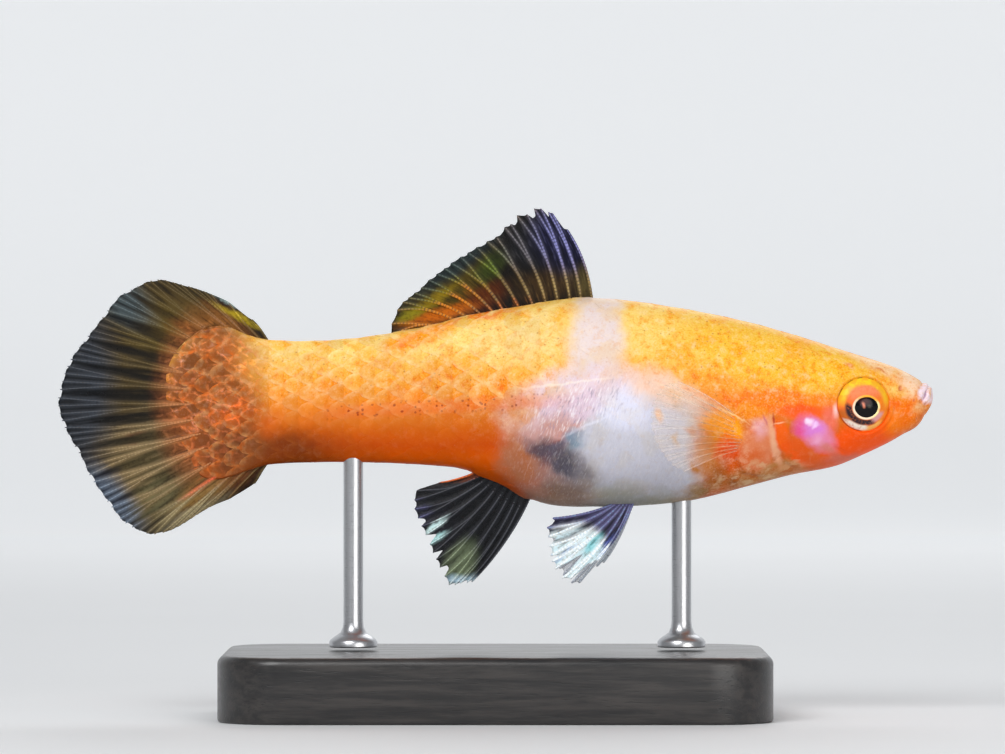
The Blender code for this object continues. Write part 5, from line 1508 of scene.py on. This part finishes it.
def build_paired_fins():
    settings = bpy.context.scene.swordtail_fins
    thickness, radius = settings.membrane_thickness / MM, settings.ray_radius / MM
    near = (PELVIC_FILM, PELVIC_BONE, NEAR_PELVIC_OPACITY)
    far = (FAR_PELVIC_FILM, FAR_PELVIC_BONE, FAR_PELVIC_OPACITY)
    for name, side, (skin, bone, opacity) in (("right", -1, near), ("left", 1, far)):
        fin = FinShape(PELVIC_RAYS, -0.05, 0.2, pelvic_place(side), {1: 0.15, 2: 0.33, 3: 0.1, 4: 0.1}, 0.06)
        sheet = build_membrane(f"pelvic_membrane_{name}", fin, thickness, 0.12)
        film = fin_material(f"pelvic_film_{name}", skin, bone, opacity, 0.0, 0.8)
        finish_piece(sheet, film, "clear_fin", f"pelvic_fin_{name}")
        bars = build_rays(f"pelvic_rays_{name}", fin, radius * 0.8, radius * 0.8)
        shade = rgb(120, 170, 206) if side < 0 else rgb(150, 156, 176)
        finish_piece(bars, ray_material(f"pelvic_bone_{name}", bone, shade), "clear_fin")
    opacity = settings.pectoral_opacity
    film = fin_material("pectoral_film", PECTORAL_FILM, PECTORAL_BONE, opacity, 0.0, 0.35, opacity * 0.8)
    bone = ray_material("pectoral_bone", PECTORAL_BONE, rgb(244, 216, 190), 0.19)
    rays = fan_rays(((1.5, 1.5), (0.5, -1.3)), PECTORAL_MARGIN, 11, 1)
    for name, side in SIDES.items():
        fin = FinShape(rays, 0.03, 0.3, pectoral_place(side), notch=0.03)
        sheet = build_membrane(f"pectoral_membrane_{name}", fin, thickness, 0.0)
        finish_piece(sheet, film, "clear_fin", f"pectoral_fin_{name}")
        bars = build_rays(f"pectoral_rays_{name}", fin, radius * 0.42, radius * 0.25)
        finish_piece(bars, bone, "clear_fin")


# Stand


def base_material():
    material, tree, shader = new_material("ebonised_wood")
    coords = object_coords(tree)
    stretched = tree.add("ShaderNodeMapping", {"Vector": coords, "Scale": (0.08, 1.0, 1.0)})
    grain = tree.noise(stretched.outputs[0], 0.7, 5.0, 0.65, 0.3).outputs["Fac"]
    pores = tree.ramp(tree.noise(stretched.outputs[0], 0.18, 2.0).outputs["Fac"], 0.6, 0.72)
    colour = tree.mix(tree.ramp(grain, 0.35, 0.7), rgb(26, 25, 26), rgb(52, 48, 46))
    colour = tree.mix(tree.math("MULTIPLY", pores, 0.6), colour, rgb(12, 11, 12))
    tree.feed(shader.inputs["Base Color"], colour)
    tree.feed(shader.inputs["Roughness"], tree.ramp(grain, 0.3, 0.7, 0.3, 0.44))
    height = tree.math("SUBTRACT", grain, pores)
    bump = tree.add("ShaderNodeBump", {"Height": height, "Strength": 0.25, "Distance": 0.08 * MM})
    tree.feed(shader.inputs["Normal"], bump.outputs[0])
    shader.inputs["Coat Weight"].default_value = 0.25
    shader.inputs["Coat Roughness"].default_value = 0.25
    return material


def rod_material():
    material, tree, shader = new_material("turned_steel")
    coords = object_coords(tree)
    stretched = tree.add("ShaderNodeMapping", {"Vector": coords, "Scale": (0.05, 0.05, 1.0)})
    lines = tree.noise(stretched.outputs[0], 0.04, 3.0).outputs["Fac"]
    colour = tree.mix(lines, rgb(184, 185, 188), rgb(200, 201, 204))
    tree.feed(shader.inputs["Base Color"], colour)
    tree.feed(shader.inputs["Roughness"], tree.ramp(lines, 0.2, 0.8, 0.26, 0.36))
    shader.inputs["Metallic"].default_value = 1.0
    bump = tree.add("ShaderNodeBump", {"Height": lines, "Strength": 0.06, "Distance": 0.005 * MM})
    tree.feed(shader.inputs["Normal"], bump.outputs[0])
    return material


def select_edges(obj, chosen):
    """Selects the edges whose two ends pass a test, in edit mode."""
    bpy.ops.object.mode_set(mode="EDIT")
    bpy.ops.mesh.select_mode(type="EDGE")
    bpy.ops.mesh.select_all(action="DESELECT")
    bpy.ops.object.mode_set(mode="OBJECT")
    for edge in obj.data.edges:
        first, second = (obj.data.vertices[index].co for index in edge.vertices)
        edge.select = chosen(first, second)
    bpy.ops.object.mode_set(mode="EDIT")


def apply_place(obj):
    deselect()
    obj.select_set(True)
    bpy.context.view_layer.objects.active = obj
    bpy.ops.object.transform_apply(location=True, rotation=True, scale=True)


def build_stand_base():
    settings = bpy.context.scene.swordtail_stand
    low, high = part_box("stand_base")
    deselect()
    middle = [(near + far) / 2 for near, far in zip(low, high)]
    bpy.ops.mesh.primitive_cube_add(size=1, location=middle)
    base = bpy.context.object
    base.name = base.data.name = "plinth"
    base.scale = (high[0] - low[0], high[1] - low[1], high[2] - low[2])
    apply_place(base)
    select_edges(base, lambda a, b: abs(a.z - b.z) > MM)
    bpy.ops.mesh.bevel(offset=6 * MM, segments=16, profile=0.5)
    bpy.ops.object.mode_set(mode="OBJECT")
    select_edges(base, lambda a, b: min(a.z, b.z) > high[2] - MM / 100)
    bpy.ops.mesh.bevel(offset=settings.base_edge, segments=6, profile=0.5)
    bpy.ops.object.mode_set(mode="OBJECT")
    select_edges(base, lambda a, b: max(a.z, b.z) < low[2] + MM / 100)
    bpy.ops.mesh.bevel(offset=0.3 * MM, segments=3, profile=0.5)
    bpy.ops.object.mode_set(mode="OBJECT")
    bpy.ops.object.shade_smooth_by_angle(angle=math.radians(35))
    finish_piece(base, base_material(), "base", "stand_base")


def build_stand_rods():
    material = rod_material()
    for name in ("front", "rear"):
        low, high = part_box(f"stand_rod_{name}")
        middle = Vector(((low[0] + high[0]) / 2, 0, 0))
        thin, foot = 0.9 * MM, (high[0] - low[0]) / 2
        profile = (
            (foot, low[2] + 0.1 * MM), (foot, low[2] + 0.5 * MM), (foot * 0.94, low[2] + 0.7 * MM),
            (foot * 0.8, low[2] + 0.95 * MM), (thin * 1.7, low[2] + 1.1 * MM),
            (thin * 1.3, low[2] + 1.35 * MM),
            (thin * 1.08, low[2] + 1.8 * MM), (thin, low[2] + 2.4 * MM), (thin, high[2] - 0.3 * MM),
            (thin * 0.7, high[2]),
        )
        deselect()
        bpy.ops.mesh.primitive_circle_add(
            vertices=48, radius=foot * 0.96, fill_type="NGON", location=(middle.x, 0, low[2]),
        )
        rod = bpy.context.object
        rod.name = rod.data.name = f"rod_{name}"
        apply_place(rod)
        bpy.ops.object.mode_set(mode="EDIT")
        bpy.ops.mesh.select_all(action="SELECT")
        radius, height = foot * 0.96, low[2]
        for next_radius, next_height in profile:
            bpy.ops.mesh.extrude_region_move(TRANSFORM_OT_translate={"value": (0, 0, next_height - height)})
            share = next_radius / radius
            bpy.ops.transform.resize(value=(share, share, 1), center_override=(middle.x, 0, next_height))
            radius, height = next_radius, next_height
        bpy.ops.object.mode_set(mode="OBJECT")
        clean_mesh(rod)
        bpy.ops.object.shade_smooth_by_angle(angle=math.radians(40))
        finish_piece(rod, material, "rod", f"stand_rod_{name}")


# Stage


def floor_material(colour):
    material, tree, shader = new_material("pale_floor")
    cloud = tree.noise(object_coords(tree), 60, 2.0).outputs["Fac"]
    tint = tree.mix(tree.ramp(cloud, 0.3, 0.7, 0, 0.04), (*colour, 1), rgb(214, 214, 214))
    tree.feed(shader.inputs["Base Color"], tint)
    shader.inputs["Roughness"].default_value = 0.7
    shader.inputs["Emission Color"].default_value = (0.96, 0.98, 1.0, 1)
    far = tree.add("ShaderNodeSeparateXYZ", {0: object_coords(tree)}).outputs["Y"]
    tree.feed(shader.inputs["Emission Strength"], tree.ramp(far, 0.2, 1.3, 0, 0.42))
    return material


def add_light(name, place, size, power, colour=(1, 1, 1)):
    light = bpy.data.lights.new(name, "AREA")
    light.shape, light.size, light.energy, light.color = "DISK", size, power, colour
    lamp = bpy.data.objects.new(name, light)
    bpy.context.collection.objects.link(lamp)
    lamp.location = place
    aim = Vector((0, 0, 0.03)) - lamp.location
    lamp.rotation_euler = aim.to_track_quat("-Z", "Y").to_euler()


def build_stage():
    settings = bpy.context.scene.swordtail_stage
    deselect()
    bpy.ops.mesh.primitive_plane_add(size=6, location=(0, -1.3, 0))
    floor = bpy.context.object
    floor.name = floor.data.name = "floor"
    apply_place(floor)
    select_edges(floor, lambda a, b: min(a.y, b.y) > 1)
    bpy.ops.mesh.extrude_region_move(TRANSFORM_OT_translate={"value": (0, 0, 2.5)})
    bpy.ops.object.mode_set(mode="OBJECT")
    select_edges(floor, lambda a, b: min(a.y, b.y) > 1 and max(a.z, b.z) < 0.01)
    bpy.ops.mesh.bevel(offset=0.9, segments=24, profile=0.5)
    bpy.ops.object.mode_set(mode="OBJECT")
    clean_mesh(floor)
    floor.data.materials.append(floor_material(settings.floor_colour))

    bpy.context.scene.view_settings.view_transform = "Standard"
    world = bpy.context.scene.world or bpy.data.worlds.new("Studio")
    bpy.context.scene.world = world
    world.use_nodes = True
    background = world.node_tree.nodes["Background"]
    background.inputs["Color"].default_value = (0.95, 0.97, 1.0, 1)
    background.inputs["Strength"].default_value = settings.ambient
    add_light("key", (-0.28, -0.62, 0.55), 0.5, settings.key_power)
    add_light("fill", (0.34, -0.6, 0.1), 0.5, settings.key_power * 0.5, (1.0, 0.98, 0.95))
    add_light("rim", (0.1, 0.6, 0.5), 0.5, settings.key_power * 0.3)

    data = bpy.data.cameras.new("camera")
    data.sensor_fit = "HORIZONTAL"
    data.sensor_width = 36
    data.lens = 36 * settings.camera_distance / (1005 * 0.0914286 * MM)
    data.clip_start = 0.01
    camera = bpy.data.objects.new("camera", data)
    bpy.context.collection.objects.link(camera)
    camera.location = (0.64 * MM, -settings.camera_distance, 31 * MM)
    camera.rotation_euler = (math.pi / 2, 0, 0)
    bpy.context.scene.camera = camera


# Settings


class SwordtailBody(PropertyGroup):
    skin_points: IntProperty(
        name="Skin Points", description="Points round each ring of the skin", default=176, min=48, max=400,
    )
    scale_lift: FloatProperty(
        name="Scale Lift", description="How far a scale's free edge stands off the skin",
        default=0.075 * MM, min=0, unit="LENGTH", precision=6,
    )
    scale_thickness: FloatProperty(
        name="Scale Thickness", description="How thick each scale is",
        default=0.045 * MM, min=0, unit="LENGTH", precision=6,
    )


class SwordtailFins(PropertyGroup):
    membrane_thickness: FloatProperty(
        name="Membrane", description="How thick the skin between the rays is",
        default=0.09 * MM, min=0, unit="LENGTH", precision=6,
    )
    ray_radius: FloatProperty(
        name="Ray Radius", description="Radius of a ray at its base", default=0.15 * MM, min=0, unit="LENGTH",
        precision=6,
    )
    film_opacity: FloatProperty(
        name="Coloured Fins", description="How opaque the dorsal and tail fins' membranes are",
        default=0.985, min=0, max=1, subtype="FACTOR",
    )
    clear_opacity: FloatProperty(
        name="Anal Fin", description="How opaque the anal fin's membrane is",
        default=0.93, min=0, max=1, subtype="FACTOR",
    )
    pectoral_opacity: FloatProperty(
        name="Pectoral Fins", description="How opaque the pectoral fins' membranes are",
        default=0.11, min=0, max=1, subtype="FACTOR",
    )


class SwordtailStand(PropertyGroup):
    base_edge: FloatProperty(
        name="Base Edge", description="Width of the base's softened upper edge", default=0.8 * MM, min=0,
        unit="LENGTH", precision=5,
    )


class SwordtailStage(PropertyGroup):
    floor_colour: FloatVectorProperty(
        name="Floor", description="Colour of the floor and backdrop", subtype="COLOR", size=3,
        default=(0.8, 0.81, 0.82), min=0, max=1,
    )
    key_power: FloatProperty(
        name="Key Light", description="Power of the main light", default=3.95, min=0, unit="POWER",
    )
    ambient: FloatProperty(
        name="Ambient", description="Strength of the light from all round", default=0.34, min=0,
    )
    camera_distance: FloatProperty(
        name="Camera Distance", description="How far the camera stands from the fish", default=0.6, min=0.1,
        unit="LENGTH",
    )


class SkinOperator(Operator):
    """Builds the fish's one skin, with its mouth, orbits, nostrils and gill covers"""

    bl_idname = "swordtail.skin"
    bl_label = "Build Skin"

    def execute(self, context):
        build_skin()
        return {"FINISHED"}


class ScalesOperator(Operator):
    """Lays the scales over the skin"""

    bl_idname = "swordtail.scales"
    bl_label = "Build Scales"

    def execute(self, context):
        build_scales()
        return {"FINISHED"}


class EyesOperator(Operator):
    """Builds both eyes"""

    bl_idname = "swordtail.eyes"
    bl_label = "Build Eyes"

    def execute(self, context):
        build_eyes()
        return {"FINISHED"}


class DorsalFinOperator(Operator):
    """Builds the dorsal fin's membrane and rays"""

    bl_idname = "swordtail.dorsal_fin"
    bl_label = "Build Dorsal Fin"

    def execute(self, context):
        build_dorsal_fin()
        return {"FINISHED"}


class TailFinOperator(Operator):
    """Builds the tail fin's membrane and rays"""

    bl_idname = "swordtail.tail_fin"
    bl_label = "Build Tail Fin"

    def execute(self, context):
        build_tail_fin()
        return {"FINISHED"}


class AnalFinOperator(Operator):
    """Builds the anal fin's membrane and rays"""

    bl_idname = "swordtail.anal_fin"
    bl_label = "Build Anal Fin"

    def execute(self, context):
        build_anal_fin()
        return {"FINISHED"}


class PairedFinsOperator(Operator):
    """Builds the pelvic and pectoral fins of both sides"""

    bl_idname = "swordtail.paired_fins"
    bl_label = "Build Paired Fins"

    def execute(self, context):
        build_paired_fins()
        return {"FINISHED"}


class StandBaseOperator(Operator):
    """Builds the stand's wooden base"""

    bl_idname = "swordtail.stand_base"
    bl_label = "Build Stand Base"

    def execute(self, context):
        build_stand_base()
        return {"FINISHED"}


class StandRodsOperator(Operator):
    """Builds the stand's two steel rods"""

    bl_idname = "swordtail.stand_rods"
    bl_label = "Build Stand Rods"

    def execute(self, context):
        build_stand_rods()
        return {"FINISHED"}


class StageOperator(Operator):
    """Sets up the floor, the lights and the camera"""

    bl_idname = "swordtail.stage"
    bl_label = "Set Stage"

    def execute(self, context):
        build_stage()
        return {"FINISHED"}


STEPS = (
    StageOperator, SkinOperator, ScalesOperator, EyesOperator, DorsalFinOperator, TailFinOperator,
    AnalFinOperator, PairedFinsOperator, StandBaseOperator, StandRodsOperator,
)
SETTINGS = {
    "swordtail_body": SwordtailBody,
    "swordtail_fins": SwordtailFins,
    "swordtail_stand": SwordtailStand,
    "swordtail_stage": SwordtailStage,
}


class SwordtailPanel(Panel):
    """Lists the model's settings and steps"""

    bl_idname = "VIEW3D_PT_swordtail"
    bl_label = "Koi Swordtail"
    bl_space_type = "VIEW_3D"
    bl_region_type = "UI"
    bl_category = "Swordtail"

    def draw(self, context):
        for name, group in SETTINGS.items():
            box = self.layout.box()
            for key in group.__annotations__:
                box.prop(getattr(context.scene, name), key)
        for step in STEPS:
            self.layout.operator(step.bl_idname)


def register():
    for group in SETTINGS.values():
        bpy.utils.register_class(group)
    for name, group in SETTINGS.items():
        setattr(bpy.types.Scene, name, PointerProperty(type=group))
    for step in STEPS:
        bpy.utils.register_class(step)
    bpy.utils.register_class(SwordtailPanel)


def unregister():
    bpy.utils.unregister_class(SwordtailPanel)
    for step in reversed(STEPS):
        bpy.utils.unregister_class(step)
    for name in SETTINGS:
        delattr(bpy.types.Scene, name)
    for group in SETTINGS.values():
        bpy.utils.unregister_class(group)


def main():
    register()
    bpy.ops.swordtail.stage()
    bpy.ops.swordtail.skin()
    bpy.ops.swordtail.scales()
    bpy.ops.swordtail.eyes()
    bpy.ops.swordtail.dorsal_fin()
    bpy.ops.swordtail.tail_fin()
    bpy.ops.swordtail.anal_fin()
    bpy.ops.swordtail.paired_fins()
    bpy.ops.swordtail.stand_base()
    bpy.ops.swordtail.stand_rods()


if __name__ == "__main__":
    main()
